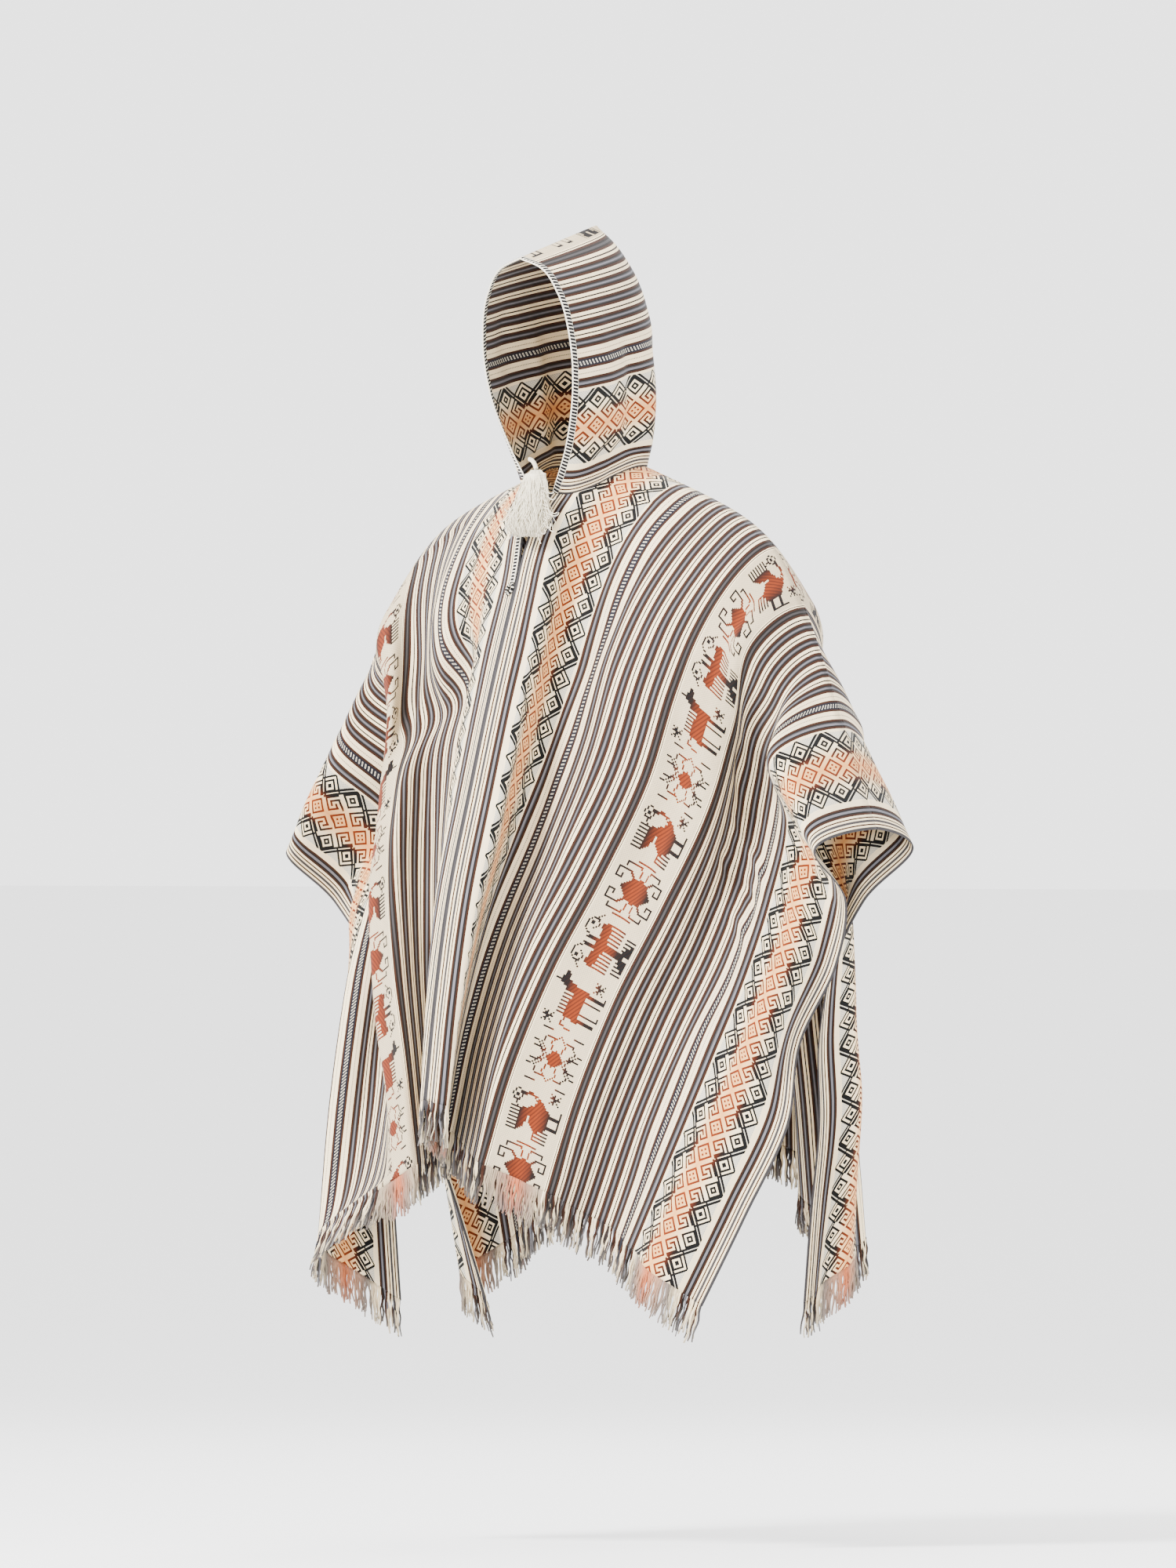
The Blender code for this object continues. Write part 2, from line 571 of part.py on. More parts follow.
def build_tassel():
    down, half_width, half_depth = np.array(TASSEL).T
    centres = np.array(TASSEL_TOP) + TASSEL_LENGTH * np.outer(down, [0, -TASSEL_FORWARD, -1])
    across, forward = np.outer(half_width, [1, 0, 0]), np.outer(half_depth, [0, 1, 0])
    make_rings("tassel", centres, across, forward, TASSEL_SIDES, "wool")


def build_tie():
    route = np.array(TIE_ROUTE)
    along = np.gradient(route, axis=0)
    along /= np.linalg.norm(along, axis=1)[:, None]
    side = np.cross(along, [0, 1, 0])
    side /= np.linalg.norm(side, axis=1)[:, None]
    other = np.cross(along, side)
    make_rings("tassel_tie", route, TIE_RADIUS * side, TIE_RADIUS * other, TIE_SIDES, "wool")


def main():
    for old in list(bpy.data.objects):
        bpy.data.objects.remove(old)
    grids, normals, hems = lay_panels()
    build_hood(grids, normals)
    build_panels(grids, normals, hems)
    build_hood_braid(grids)
    build_slit_braid(grids, normals)
    build_tassel()
    build_tie()


main()
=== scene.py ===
"""Looks of the hooded poncho: its cloth as thin shells with woven stripes, lattice and animal bands,
the edging braids, the wool tassel and the warp fringe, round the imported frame.

The cloth is worked out from its cut as the part's source does it: u is the distance from the middle seam
and v the distance down from the shoulder seam. The same (u, v) are the texture coordinates, so the weave
follows the cloth. Sizes are metres. Colours are named as they look and turned into linear light.
"""

import math

import bpy
import numpy as np
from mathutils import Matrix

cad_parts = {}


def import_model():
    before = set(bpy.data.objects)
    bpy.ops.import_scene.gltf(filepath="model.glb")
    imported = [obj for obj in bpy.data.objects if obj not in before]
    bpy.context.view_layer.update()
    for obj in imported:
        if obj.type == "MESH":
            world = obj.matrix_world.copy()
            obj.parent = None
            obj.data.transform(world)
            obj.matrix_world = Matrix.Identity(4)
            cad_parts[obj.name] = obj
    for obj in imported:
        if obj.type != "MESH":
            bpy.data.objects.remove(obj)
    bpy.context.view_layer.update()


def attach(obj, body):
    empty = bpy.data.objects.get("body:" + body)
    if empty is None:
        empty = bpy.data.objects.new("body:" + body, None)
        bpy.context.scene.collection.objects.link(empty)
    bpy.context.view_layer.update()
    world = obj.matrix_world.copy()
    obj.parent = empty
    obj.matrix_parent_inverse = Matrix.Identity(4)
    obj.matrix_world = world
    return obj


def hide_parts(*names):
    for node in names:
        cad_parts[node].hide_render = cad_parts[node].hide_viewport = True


# Cut of the cloth
LOOM_WIDTH = 0.73
PANEL_LENGTH = 0.97
FRINGE_LENGTH = 0.055
NECK_HALF_WIDTH = 0.075
NECK_FRONT_DEPTH = 0.12
NECK_BACK_DEPTH = 0.055
SLIT_LENGTH = 0.12
SLIT_HALF_WIDTH = 0.016
SLIT_SPREAD_REACH = 0.05
HOOD_HEIGHT = 0.335
HOOD_DEPTH = 0.25  # from the face to the back seam, along the cloth
HOOD_SQUARENESS = 2.3
BRAID_WIDTH = 0.010
BRAID_THICKNESS = 0.0035
BRAID_LIFT = 0.0006
CLOTH_THICKNESS = 0.0018
SEAM_GAP = 0.0002

# Hang of the cloth
NECK_RISE = 0.02
WARP_TILT = math.radians(20.5)
WARP_STEEPNESS = 0.965
HEM_RISE = 0.055
SHOULDER_EASE = 0.065
SHOULDER_EASE_REACH = 0.065
SHOULDER_POINT = 0.29
SHOULDER_ROUNDING = 0.035
FRONT_LEFT_LEAN = math.radians(46)
FRONT_RIGHT_LEAN = math.radians(24)
BACK_LEAN = math.radians(-12)
SAG_REACH = 0.27

# Fineness of the shells
PANEL_COLUMNS = 128
ROW_STEP = 0.0066
NECK_ROWS = 14
HOOD_ROWS = 64
HOOD_COLUMNS = 56
BRAID_ROWS = 150

# Guide warps: where the cloth hangs at each depth. x is away from the middle plane and y forwards.
GUIDE_SHARES = {"middle": 0.0, "mid": 0.49, "turn": 0.80, "edge": 1.0}
# depth, middle_x, middle_y, mid_x, mid_y, turn_x, turn_y, edge_x, edge_y
FRONT_LEFT = (
    (0.00, 0.000, 0.000, 0.318, 0.000, 0.411, 0.000, 0.466, 0.000),
    (0.13, 0.000, 0.128, 0.298, 0.085, 0.372, 0.105, 0.455, 0.118),
    (0.28, -0.004, 0.182, 0.246, 0.098, 0.330, 0.020, 0.438, 0.030),
    (0.42, -0.012, 0.222, 0.205, 0.105, 0.318, 0.040, 0.398, 0.000),
    (0.56, -0.022, 0.254, 0.155, 0.135, 0.300, 0.075, 0.362, 0.030),
    (0.70, -0.034, 0.282, 0.102, 0.172, 0.265, 0.105, 0.368, 0.065),
    (0.85, -0.044, 0.300, 0.060, 0.205, 0.222, 0.132, 0.325, 0.100),
    (1.00, -0.052, 0.312, 0.030, 0.228, 0.180, 0.160, 0.278, 0.135),
)
FRONT_RIGHT = (
    (0.00, 0.000, 0.000, 0.318, 0.000, 0.411, 0.000, 0.466, 0.020),
    (0.13, 0.000, 0.128, 0.296, 0.085, 0.380, 0.105, 0.450, 0.110),
    (0.28, 0.004, 0.182, 0.268, 0.118, 0.330, 0.030, 0.430, 0.030),
    (0.42, 0.012, 0.222, 0.268, 0.132, 0.335, 0.075, 0.385, 0.005),
    (0.56, 0.022, 0.254, 0.262, 0.150, 0.338, 0.110, 0.345, 0.020),
    (0.70, 0.034, 0.282, 0.232, 0.178, 0.340, 0.138, 0.318, 0.050),
    (0.85, 0.044, 0.300, 0.185, 0.215, 0.338, 0.162, 0.288, 0.078),
    (1.00, 0.052, 0.312, 0.142, 0.248, 0.334, 0.182, 0.262, 0.098),
)
BACK_LEFT = (
    (0.00, 0.000, 0.000, 0.318, 0.000, 0.411, 0.000, 0.466, 0.000),
    (0.13, 0.000, 0.100, 0.300, 0.082, 0.380, 0.090, 0.455, 0.095),
    (0.28, 0.000, 0.142, 0.268, 0.112, 0.335, 0.040, 0.430, 0.020),
    (0.42, 0.004, 0.176, 0.245, 0.132, 0.328, 0.058, 0.385, 0.010),
    (0.56, 0.008, 0.206, 0.225, 0.156, 0.322, 0.085, 0.350, 0.025),
    (0.70, 0.012, 0.234, 0.205, 0.182, 0.316, 0.112, 0.330, 0.052),
    (0.85, 0.015, 0.258, 0.188, 0.206, 0.312, 0.138, 0.294, 0.080),
    (1.00, 0.018, 0.276, 0.172, 0.228, 0.308, 0.160, 0.258, 0.112),
)
BACK_RIGHT = (
    (0.00, 0.000, 0.000, 0.318, 0.000, 0.411, 0.000, 0.466, -0.020),
    (0.13, 0.000, 0.100, 0.302, 0.080, 0.378, 0.088, 0.455, 0.088),
    (0.28, 0.000, 0.142, 0.262, 0.110, 0.332, 0.036, 0.428, 0.022),
    (0.42, -0.004, 0.176, 0.235, 0.134, 0.324, 0.060, 0.388, 0.006),
    (0.56, -0.008, 0.206, 0.210, 0.160, 0.315, 0.088, 0.352, 0.030),
    (0.70, -0.012, 0.234, 0.188, 0.186, 0.306, 0.114, 0.338, 0.055),
    (0.85, -0.015, 0.258, 0.168, 0.210, 0.298, 0.140, 0.312, 0.085),
    (1.00, -0.018, 0.276, 0.150, 0.232, 0.290, 0.162, 0.290, 0.118),
)
# Folds between two guides
# stretch, top_place, hem_place, top_width, hem_width, chest_share, low_share
FRONT_LEFT_FOLDS = (
    (0, 0.12, 0.24, 0.12, 0.22, 0.14, 0.14),
    (0, 0.28, 0.52, 0.20, 0.24, -1.00, -1.00),
    (1, 0.30, 0.30, 0.30, 0.28, 0.30, 0.30),
    (1, 0.66, 0.68, 0.36, 0.34, -1.00, -1.00),
    (2, 0.45, 0.45, 0.45, 0.45, 1.00, 1.00),
)
FRONT_RIGHT_FOLDS = (
    (0, 0.12, 0.20, 0.12, 0.20, 0.00, 0.06),
    (0, 0.40, 0.54, 0.30, 0.36, 0.00, -1.00),
    (0, 0.76, 0.72, 0.26, 0.26, -1.00, 0.00),
    (1, 0.55, 0.50, 0.40, 0.45, -1.00, -1.00),
    (2, 0.45, 0.45, 0.45, 0.45, 1.00, 1.00),
)
BACK_LEFT_FOLDS = (
    (0, 0.44, 0.36, 0.40, 0.32, -1.00, -1.00),
    (0, 0.84, 0.76, 0.16, 0.24, 0.30, 0.30),
    (1, 0.52, 0.38, 0.40, 0.36, -1.00, -1.00),
    (1, 0.88, 0.80, 0.12, 0.20, 0.30, 0.30),
    (2, 0.45, 0.45, 0.45, 0.45, 1.00, 1.00),
)
BACK_RIGHT_FOLDS = (
    (0, 0.36, 0.30, 0.34, 0.28, -1.00, -1.00),
    (0, 0.76, 0.66, 0.24, 0.30, 0.45, 0.45),
    (1, 0.56, 0.52, 0.40, 0.42, -1.00, -1.00),
    (2, 0.50, 0.50, 0.45, 0.45, 1.00, 1.00),
)
# Creases placed on top of the folds: a soft ridge (depth above 0) or trough along a line on the cloth
# u0, v0, u1, v1, width, depth
FRONT_LEFT_CREASES = (
    (0.03, 0.25, 0.10, 0.62, 0.022, -0.0040),
    (0.10, 0.16, 0.17, 0.52, 0.020, 0.0035),
    (0.20, 0.08, 0.15, 0.40, 0.024, -0.0045),
    (0.27, 0.12, 0.25, 0.46, 0.020, 0.0040),
    (0.33, 0.20, 0.36, 0.60, 0.022, -0.0040),
    (0.44, 0.24, 0.52, 0.36, 0.016, -0.0035),
    (0.46, 0.36, 0.58, 0.41, 0.012, 0.0040),
    (0.45, 0.41, 0.57, 0.46, 0.012, -0.0040),
    (0.47, 0.47, 0.58, 0.50, 0.014, 0.0035),
    (0.55, 0.55, 0.53, 0.90, 0.022, 0.0040),
    (0.38, 0.62, 0.43, 0.95, 0.020, -0.0035),
    (0.64, 0.30, 0.61, 0.74, 0.018, -0.0035),
    (0.68, 0.10, 0.66, 0.40, 0.016, 0.0030),
)
FRONT_RIGHT_CREASES = (
    (0.05, 0.22, 0.09, 0.60, 0.020, 0.0035),
    (0.12, 0.10, 0.16, 0.46, 0.022, -0.0045),
    (0.19, 0.12, 0.25, 0.55, 0.020, 0.0040),
    (0.29, 0.14, 0.31, 0.50, 0.022, -0.0040),
    (0.35, 0.40, 0.39, 0.86, 0.024, 0.0040),
    (0.45, 0.26, 0.50, 0.60, 0.020, -0.0035),
    (0.56, 0.42, 0.55, 0.88, 0.020, 0.0035),
    (0.64, 0.22, 0.62, 0.66, 0.018, -0.0030),
)
BACK_LEFT_CREASES = (
    (0.06, 0.16, 0.08, 0.56, 0.022, -0.0040),
    (0.14, 0.10, 0.18, 0.50, 0.024, 0.0045),
    (0.24, 0.16, 0.22, 0.62, 0.022, -0.0040),
    (0.31, 0.20, 0.34, 0.72, 0.022, 0.0040),
    (0.42, 0.30, 0.47, 0.64, 0.020, -0.0040),
    (0.52, 0.44, 0.50, 0.90, 0.020, 0.0035),
    (0.60, 0.24, 0.63, 0.70, 0.018, -0.0035),
)
BACK_RIGHT_CREASES = (
    (0.05, 0.20, 0.10, 0.66, 0.024, 0.0040),
    (0.15, 0.12, 0.13, 0.44, 0.020, -0.0040),
    (0.21, 0.18, 0.27, 0.60, 0.022, 0.0040),
    (0.33, 0.16, 0.32, 0.58, 0.022, -0.0045),
    (0.40, 0.46, 0.44, 0.92, 0.022, 0.0035),
    (0.50, 0.26, 0.53, 0.62, 0.020, -0.0035),
    (0.62, 0.40, 0.60, 0.84, 0.018, 0.0035),
)
# the same on the hood: share of the way round from the face, and level
HOOD_CREASES = (
    (0.46, 0.04, 0.40, 0.70, 0.060, -0.0050),
    (0.62, 0.02, 0.56, 0.46, 0.060, 0.0040),
    (0.10, 0.16, 0.62, 0.07, 0.050, -0.0040),
    (0.24, 0.30, 0.22, 0.80, 0.070, 0.0030),
    (0.78, 0.10, 0.74, 0.60, 0.060, -0.0035),
)
# side is +1 on the wearer's left, front is -1 at the front; start is where this panel's pattern begins
PANELS = {
    "front_left": dict(
        side=1, front=-1, lean=FRONT_LEFT_LEAN, sag=0.255, guides=FRONT_LEFT,
        folds=FRONT_LEFT_FOLDS, creases=FRONT_LEFT_CREASES, start=0.0,
    ),
    "front_right": dict(
        side=-1, front=-1, lean=FRONT_RIGHT_LEAN, sag=0.268, guides=FRONT_RIGHT,
        folds=FRONT_RIGHT_FOLDS, creases=FRONT_RIGHT_CREASES, start=0.31,
    ),
    "back_left": dict(
        side=1, front=1, lean=BACK_LEAN, sag=0.255, guides=BACK_LEFT,
        folds=BACK_LEFT_FOLDS, creases=BACK_LEFT_CREASES, start=0.55,
    ),
    "back_right": dict(
        side=-1, front=1, lean=BACK_LEAN, sag=0.268, guides=BACK_RIGHT,
        folds=BACK_RIGHT_FOLDS, creases=BACK_RIGHT_CREASES, start=0.12,
    ),
}
SECTION_SAMPLES = 160
MOST_FOLD = 0.2
FOLD_HALVINGS = 24
FOLD_END = 0.12
FOLD_ROUNDNESS = 1.35
CHEST_END = 0.20
CHEST_FADE = 0.24
CREASE_STRENGTH = 1.35
CREASE_END = 0.3  # share of a crease over which it fades out
CREASE_BOW = 0.25  # how far a crease wanders, as a share of its width
CREASE_WAVES = 7
CREASE_FREE_EDGE = 0.03  # cloth beside a seam that no crease lifts

# level, face_x, face_y, face_z, back_y, back_z, half_width
HOOD = (
    (0.00, 0.016, 0.126, -0.041, -0.070, 0.004, 0.078),
    (0.20, 0.047, 0.136, 0.020, -0.084, 0.068, 0.081),
    (0.42, 0.070, 0.150, 0.092, -0.082, 0.140, 0.084),
    (0.62, 0.074, 0.160, 0.160, -0.068, 0.208, 0.081),
    (0.80, 0.060, 0.168, 0.222, -0.040, 0.266, 0.066),
    (0.92, 0.034, 0.172, 0.257, -0.012, 0.301, 0.038),
    (1.00, 0.000, 0.174, 0.270, 0.008, 0.317, 0.000),
)

TASSEL_TOP = (0.015, -0.157, -0.012)
TASSEL_LENGTH = 0.088
TASSEL_FORWARD = 0.22
# down (a share of its length), half_width, half_depth
TASSEL = (
    (0.00, 0.006, 0.006),
    (0.08, 0.013, 0.011),
    (0.25, 0.019, 0.014),
    (0.55, 0.025, 0.017),
    (0.85, 0.026, 0.016),
    (1.00, 0.020, 0.011),
)
TIE_ROUTE = (
    (-0.010, -0.139, 0.003),
    (0.002, -0.149, 0.001),
    (0.011, -0.156, -0.003),
    (0.015, -0.157, -0.0100),
)

# The tassel's loose curls: start across and down it, reach, turns, length
WISPS = (
    (0.80, 0.24, 0.022, 1.2, 0.020),
    (0.88, 0.30, 0.028, 1.6, 0.034),
    (0.90, 0.42, 0.024, 1.3, 0.044),
    (0.93, 0.56, 0.030, 1.5, 0.030),
    (0.94, 0.80, 0.022, 1.8, 0.020),
    (-0.88, 0.45, 0.016, 1.4, 0.034),
    (-0.90, 0.60, 0.020, 1.2, 0.030),
    (0.90, 0.35, 0.012, 1.0, 0.030),
    (0.92, 0.50, 0.018, 1.4, 0.036),
    (0.96, 0.62, 0.014, 1.7, 0.030),
    (0.95, 0.72, 0.020, 1.1, 0.034),
    (0.85, 0.86, 0.012, 1.5, 0.024),
    (0.80, 0.95, 0.014, 0.9, 0.026),
    (-0.85, 0.70, 0.008, 1.3, 0.024),
    (-0.80, 0.92, 0.009, 1.1, 0.022),
)
WISP_RADIUS = 0.0007
TASSEL_AXIS = np.array([0, -TASSEL_FORWARD, -1.0]) * TASSEL_LENGTH
TASSEL_STRANDS = 420
TASSEL_STRAND_RADIUS = 0.0008
TASSEL_STRAYS = 0.45  # share of its strands that leave the bundle
CORE_SHARE = 0.80  # of the tassel's own width
TIE_TURNS = 6  # of its two plies round each other
TIE_RADIUS = 0.0016
PLY_OFFSET = 0.0014  # of each ply from the cord's middle
TIE_POINTS = 60
WINDING_TURNS = 5  # of the cord round the tassel's top

# The fringe: one bundle of warps for each pitch
STRAND_PITCH = 0.0021
STRAND_POINTS = 11
STRAND_RADIUS = 0.00150
STRAND_SCATTER = 0.0005
STRAND_WAVE = 0.0010
STRAND_SWAY = ((0.0026,), (0.0018,))  # at the tips, along the hem and across it
WORN_FROM = 0.35  # share of a bundle's length after which it is worn

# The ring at the slit braid's end, and where that braid starts and stops down the seam
LOOP_RADIUS = 0.0065
LOOP_CORD = 0.0021
LOOP_POINTS = 33
SLIT_BRAID_SPAN = (0.132, 0.255)

# Studio and view
VIEW_TARGET = np.array([0, 0, -0.4305])
VIEW_AZIMUTH = math.radians(38)
VIEW_DISTANCE = 30.0
VIEW_HALF_HEIGHT = 1.05
VIEW_SHIFT = -0.0075
FLOOR_LEVEL = -1.45
FLOOR_REACH = 150
WORLD_STRENGTH = 2.9
# name, place, size, power
LIGHTS = (
    ("key", (-0.6, -4.6, 3.4), 1.6, 1100),
    ("side", (4.6, -1.6, 0.6), 2.6, 60),
    ("back", (-1.5, 4.4, 2.4), 2.6, 240),
)

# Colours of the wool, as they look
CREAM = (0.93, 0.85, 0.70)
BROWN = (0.20, 0.11, 0.07)
DARK = (0.11, 0.09, 0.08)
SLATE = (0.23, 0.22, 0.225)
SKY = (0.40, 0.395, 0.42)
NAVY = (0.11, 0.11, 0.14)
GREIGE = (0.62, 0.55, 0.46)
GRAY = (0.17, 0.14, 0.13)
RUST = (0.44, 0.17, 0.06)
RED_BROWN = (0.30, 0.11, 0.06)
BLACK = (0.05, 0.05, 0.05)
WHITE = (0.90, 0.87, 0.80)
PALE = (0.80, 0.77, 0.70)
SHADOW_GRAY = (0.30, 0.25, 0.20)
INK = (0.07, 0.07, 0.08)
BONE = (0.76, 0.69, 0.57)
WOOL_DARK = (0.76, 0.71, 0.60)
WOOL_LIGHT = (0.95, 0.92, 0.83)
UMBER = (0.13, 0.06, 0.04)
WORN_TIP = (0.44, 0.42, 0.40)

# Colours that run into each other from the middle of a band (0) to its sides (1)
LATTICE_LINES = (
    (0.00, (0.43, 0.16, 0.05)),
    (0.26, (0.34, 0.13, 0.05)),
    (0.42, (0.11, 0.06, 0.04)),
    (0.52, BLACK),
)
LATTICE_GROUND = ((0.00, (0.86, 0.60, 0.36)), (0.30, (0.90, 0.73, 0.52)), (0.52, CREAM))
ANIMAL_LINES = (
    (0.10, RUST),
    (0.34, (0.32, 0.13, 0.06)),
    (0.50, (0.10, 0.07, 0.06)),
    (0.70, BLACK),
)
FRINGE_ANIMALS = ((0.0, (0.70, 0.38, 0.24)), (0.4, (0.55, 0.42, 0.35)), (0.8, GREIGE))
# from one side of the lattice (0) to the other (1)
FRINGE_LATTICE = (
    (0.00, CREAM),
    (0.16, (0.45, 0.41, 0.38)),
    (0.36, (0.66, 0.50, 0.40)),
    (0.50, (0.72, 0.40, 0.25)),
    (0.64, (0.66, 0.50, 0.40)),
    (0.84, (0.45, 0.41, 0.38)),
    (1.00, CREAM),
)

# Pattern across a panel, by the distance from its middle: animals, stripes, lattice, edge stripes
PANEL_MIDDLE = 0.365
ANIMALS_END = 0.043
LATTICE_START = 0.221
LATTICE_MIDDLE = 0.2735
LATTICE_HALF = 0.0525
LATTICE_MARKS_END = 0.0500  # no line of the lattice is further than this from its middle
LATTICE_DOTS_END = 0.0485
EDGE_START = 0.326
# each stripe starts this many centimetres from the range's own start
NEAR_STRIPES = (
    (0.00, BROWN), (0.28, DARK), (0.44, SKY), (0.72, SLATE), (0.88, DARK), (1.02, BROWN), (1.30, CREAM),
    (2.45, BROWN), (2.72, NAVY), (3.70, BROWN), (3.97, CREAM),
)
REPEAT_STRIPES = (
    (0.00, BROWN), (0.30, DARK), (0.44, SLATE), (0.56, SKY), (0.76, SLATE), (0.88, DARK), (1.02, BROWN),
    (1.32, CREAM), (1.62, GRAY), (1.80, CREAM),
)
FAR_STRIPES = (
    (0.00, BROWN), (0.28, DARK), (0.50, SLATE), (0.78, DARK), (1.02, BROWN), (1.30, CREAM), (1.44, GRAY),
    (1.56, CREAM),
)
EDGE_STRIPES = (
    (0.00, CREAM), (0.50, BROWN), (0.76, DARK), (0.96, SKY), (1.30, DARK), (1.52, BROWN), (1.78, CREAM),
    (2.08, BROWN), (2.26, CREAM), (2.50, SLATE), (2.84, CREAM), (3.08, BROWN), (3.28, CREAM), (3.54, SLATE),
)
NEAR_SPAN, REPEAT_SPAN, FAR_START, FAR_SPAN, EDGE_SPAN = 5.1, 2.2, 16.1, 1.7, 3.9
# two dotted lines and a chain of pale links among the stripes near the lattice: places and half widths in
# centimetres, pitches along the cloth in metres
GRAY_DOTS_AT, RED_DOTS_AT, DOT_HALF, DOT_PITCH = 1.875, 4.52, 0.06, 0.0026
CHAIN_AT, CHAIN_HALF, CHAIN_PITCH = 3.2, 0.5, 0.0052

# Weave and braid
WARP_PITCH = 0.0011
PICK_PITCH = 0.0024
WEAVE_DEPTH = 0.0004
WEAVE_STRENGTH = 0.35
YARN_STREAKS, YARN_PATCHES, YARN_DARKEST = 0.34, 0.20, 0.70
RUNG_PITCH = 0.0047
RUNG_SLANT = 60
RUNG_SHARE = 0.66
BRAID_PIPING = 0.0010

# Lattice cells, drawn on a small chart each; i runs down the rows and j along them
CELL_HALF = 0.0172  # half a cell's diagonal
CELL_STEPS = 9
OUTER_STRETCH = 0.88  # the lattice nearer the arm has its cells this much sparser along the cloth
FLOWER = (
    ".........",
    ".#######.",
    ".#.....#.",
    ".#.#.#.#.",
    ".#.....#.",
    ".#.#.#.#.",
    ".#.....#.",
    ".#######.",
    ".........",
)
HOOK = (
    ".........",
    ".#######.",
    ".#.....#.",
    ".#.###.#.",
    ".#.#...#.",
    ".#.#.###.",
    ".#.#.....",
    ".#.######",
    ".........",
)
BIG_EYE = (
    ".........",
    ".#######.",
    ".#.....#.",
    ".#.###.#.",
    ".#.#.#.#.",
    ".#.###.#.",
    ".#.....#.",
    ".#######.",
    ".........",
)
SMALL_EYE = (
    "#........",
    "#.######.",
    "#.#....#.",
    "#.#.##.#.",
    "#.#.##.#.",
    "#.#....#.",
    "#.######.",
    "#........",
    "#########",
)

# Animals, drawn as strokes on a chart whose x runs down the cloth and y across it, away from the middle seam
FIGURE_STEP = 0.0026
HATCH_PITCH = 0.0052  # of the darker slanted weave inside the figures
FIGURE_COLUMNS = 32
FIGURE_ROWS = 33
CHANNEL_ROWS = 11
# mirrored, then strokes: ("line", points), ("fill", corners of a closed shape), ("box", x0, y0, x1, y1),
# ("comb", x0, x1, y0, y1) upright teeth, ("hash", x, y) a small crossed star
FIGURES = (
    (
        False,
        ("fill", (7, 17), (12, 14), (21, 14), (25, 18), (21, 24), (12, 24)),
        ("line", (8, 18), (5, 12), (6, 7)),
        ("line", (9, 18), (6, 12), (7, 7)),
        ("line", (6, 7), (5, 4), (8, 2), (11, 3), (11, 6), (8, 7), (6, 6)),
        ("box", 8, 4, 9, 5),
        ("line", (11, 4), (14, 6)),
        ("fill", (12, 14), (15, 8), (27, 8), (24, 11), (19, 12)),
        ("comb", 15, 28, 3, 8),
        ("line", (25, 18), (29, 18)),
        ("comb", 23, 30, 18, 26),
        ("line", (13, 24), (13, 30), (9, 30)),
        ("line", (14, 24), (14, 30)),
        ("line", (19, 24), (19, 30), (15, 30)),
        ("line", (20, 24), (20, 30)),
        ("hash", 1, 22),
    ),
    (
        True,
        ("fill", (15, 8), (10, 13), (9, 17), (10, 21), (15, 26), (16, 26), (16, 8)),
        ("line", (11, 14), (7, 10), (7, 3), (12, 3), (12, 6), (10, 6)),
        ("line", (12, 14), (8, 10)),
        ("line", (10, 16), (3, 14), (3, 6), (5, 6)),
        ("line", (10, 18), (3, 20), (3, 27), (5, 27)),
        ("line", (11, 20), (7, 24), (7, 30), (12, 30), (12, 27), (10, 27)),
        ("line", (12, 20), (8, 24)),
        ("line", (1, 11), (1, 22)),
    ),
    (
        True,
        ("box", 14, 11, 16, 28),
        ("fill", (14, 12), (5, 10), (4, 14), (14, 16)),
        ("comb", 4, 14, 15, 23),
        ("line", (13, 12), (13, 6), (10, 2), (6, 2), (4, 4), (4, 7), (7, 8), (9, 6)),
        ("line", (14, 11), (14, 5)),
        ("box", 6, 4, 7, 5),
        ("line", (4, 5), (1, 8)),
        ("fill", (14, 26), (8, 31), (14, 31)),
        ("comb", 6, 14, 26, 31),
    ),
    (
        False,
        ("fill", (8, 13), (24, 12), (25, 20), (22, 19), (11, 19), (8, 20)),
        ("fill", (8, 14), (5, 4), (8, 4), (12, 14)),
        ("fill", (2, 5), (8, 4), (8, 7), (3, 7)),
        ("line", (7, 4), (7, 1)),
        ("comb", 11, 24, 8, 13),
        ("line", (9, 19), (9, 30), (7, 30)),
        ("line", (10, 19), (10, 30)),
        ("line", (13, 19), (13, 29)),
        ("line", (20, 19), (20, 30), (18, 30)),
        ("line", (23, 19), (23, 29)),
        ("line", (24, 19), (24, 29)),
        ("line", (25, 13), (29, 12), (30, 18)),
        ("hash", 1, 22),
        ("hash", 25, 2),
    ),
    (
        True,
        ("fill", (15, 12), (11, 16), (15, 21), (16, 21), (16, 12)),
        ("line", (15, 12), (9, 7), (5, 9), (5, 13)),
        ("line", (13, 14), (7, 12), (3, 16), (7, 20), (13, 18)),
        ("line", (15, 21), (9, 26), (5, 24), (5, 20)),
        ("line", (12, 4), (12, 7), (15, 10)),
        ("line", (12, 29), (12, 26), (15, 23)),
        ("line", (9, 3), (9, 5), (13, 9)),
        ("line", (9, 30), (9, 28), (13, 24)),
        ("line", (1, 5), (1, 10)),
        ("line", (1, 23), (1, 28)),
    ),
)


def smooth_between(rows, at):
    """Values of a table at `at`, smoothly between its rows. The first column is the place."""
    table = np.array(rows, float)
    place, values = table[:, 0], table[:, 1:]
    slopes = np.gradient(values, place, axis=0)
    at = np.atleast_1d(np.asarray(at, float))
    low = np.clip(np.searchsorted(place, at, side="right") - 1, 0, len(place) - 2)
    step = (place[low + 1] - place[low])[:, None]
    t = ((at - place[low])[:, None]) / step
    return (
        (2 * t**3 - 3 * t**2 + 1) * values[low]
        + (t**3 - 2 * t**2 + t) * step * slopes[low]
        + (3 * t**2 - 2 * t**3) * values[low + 1]
        + (t**3 - t**2) * step * slopes[low + 1]
    )


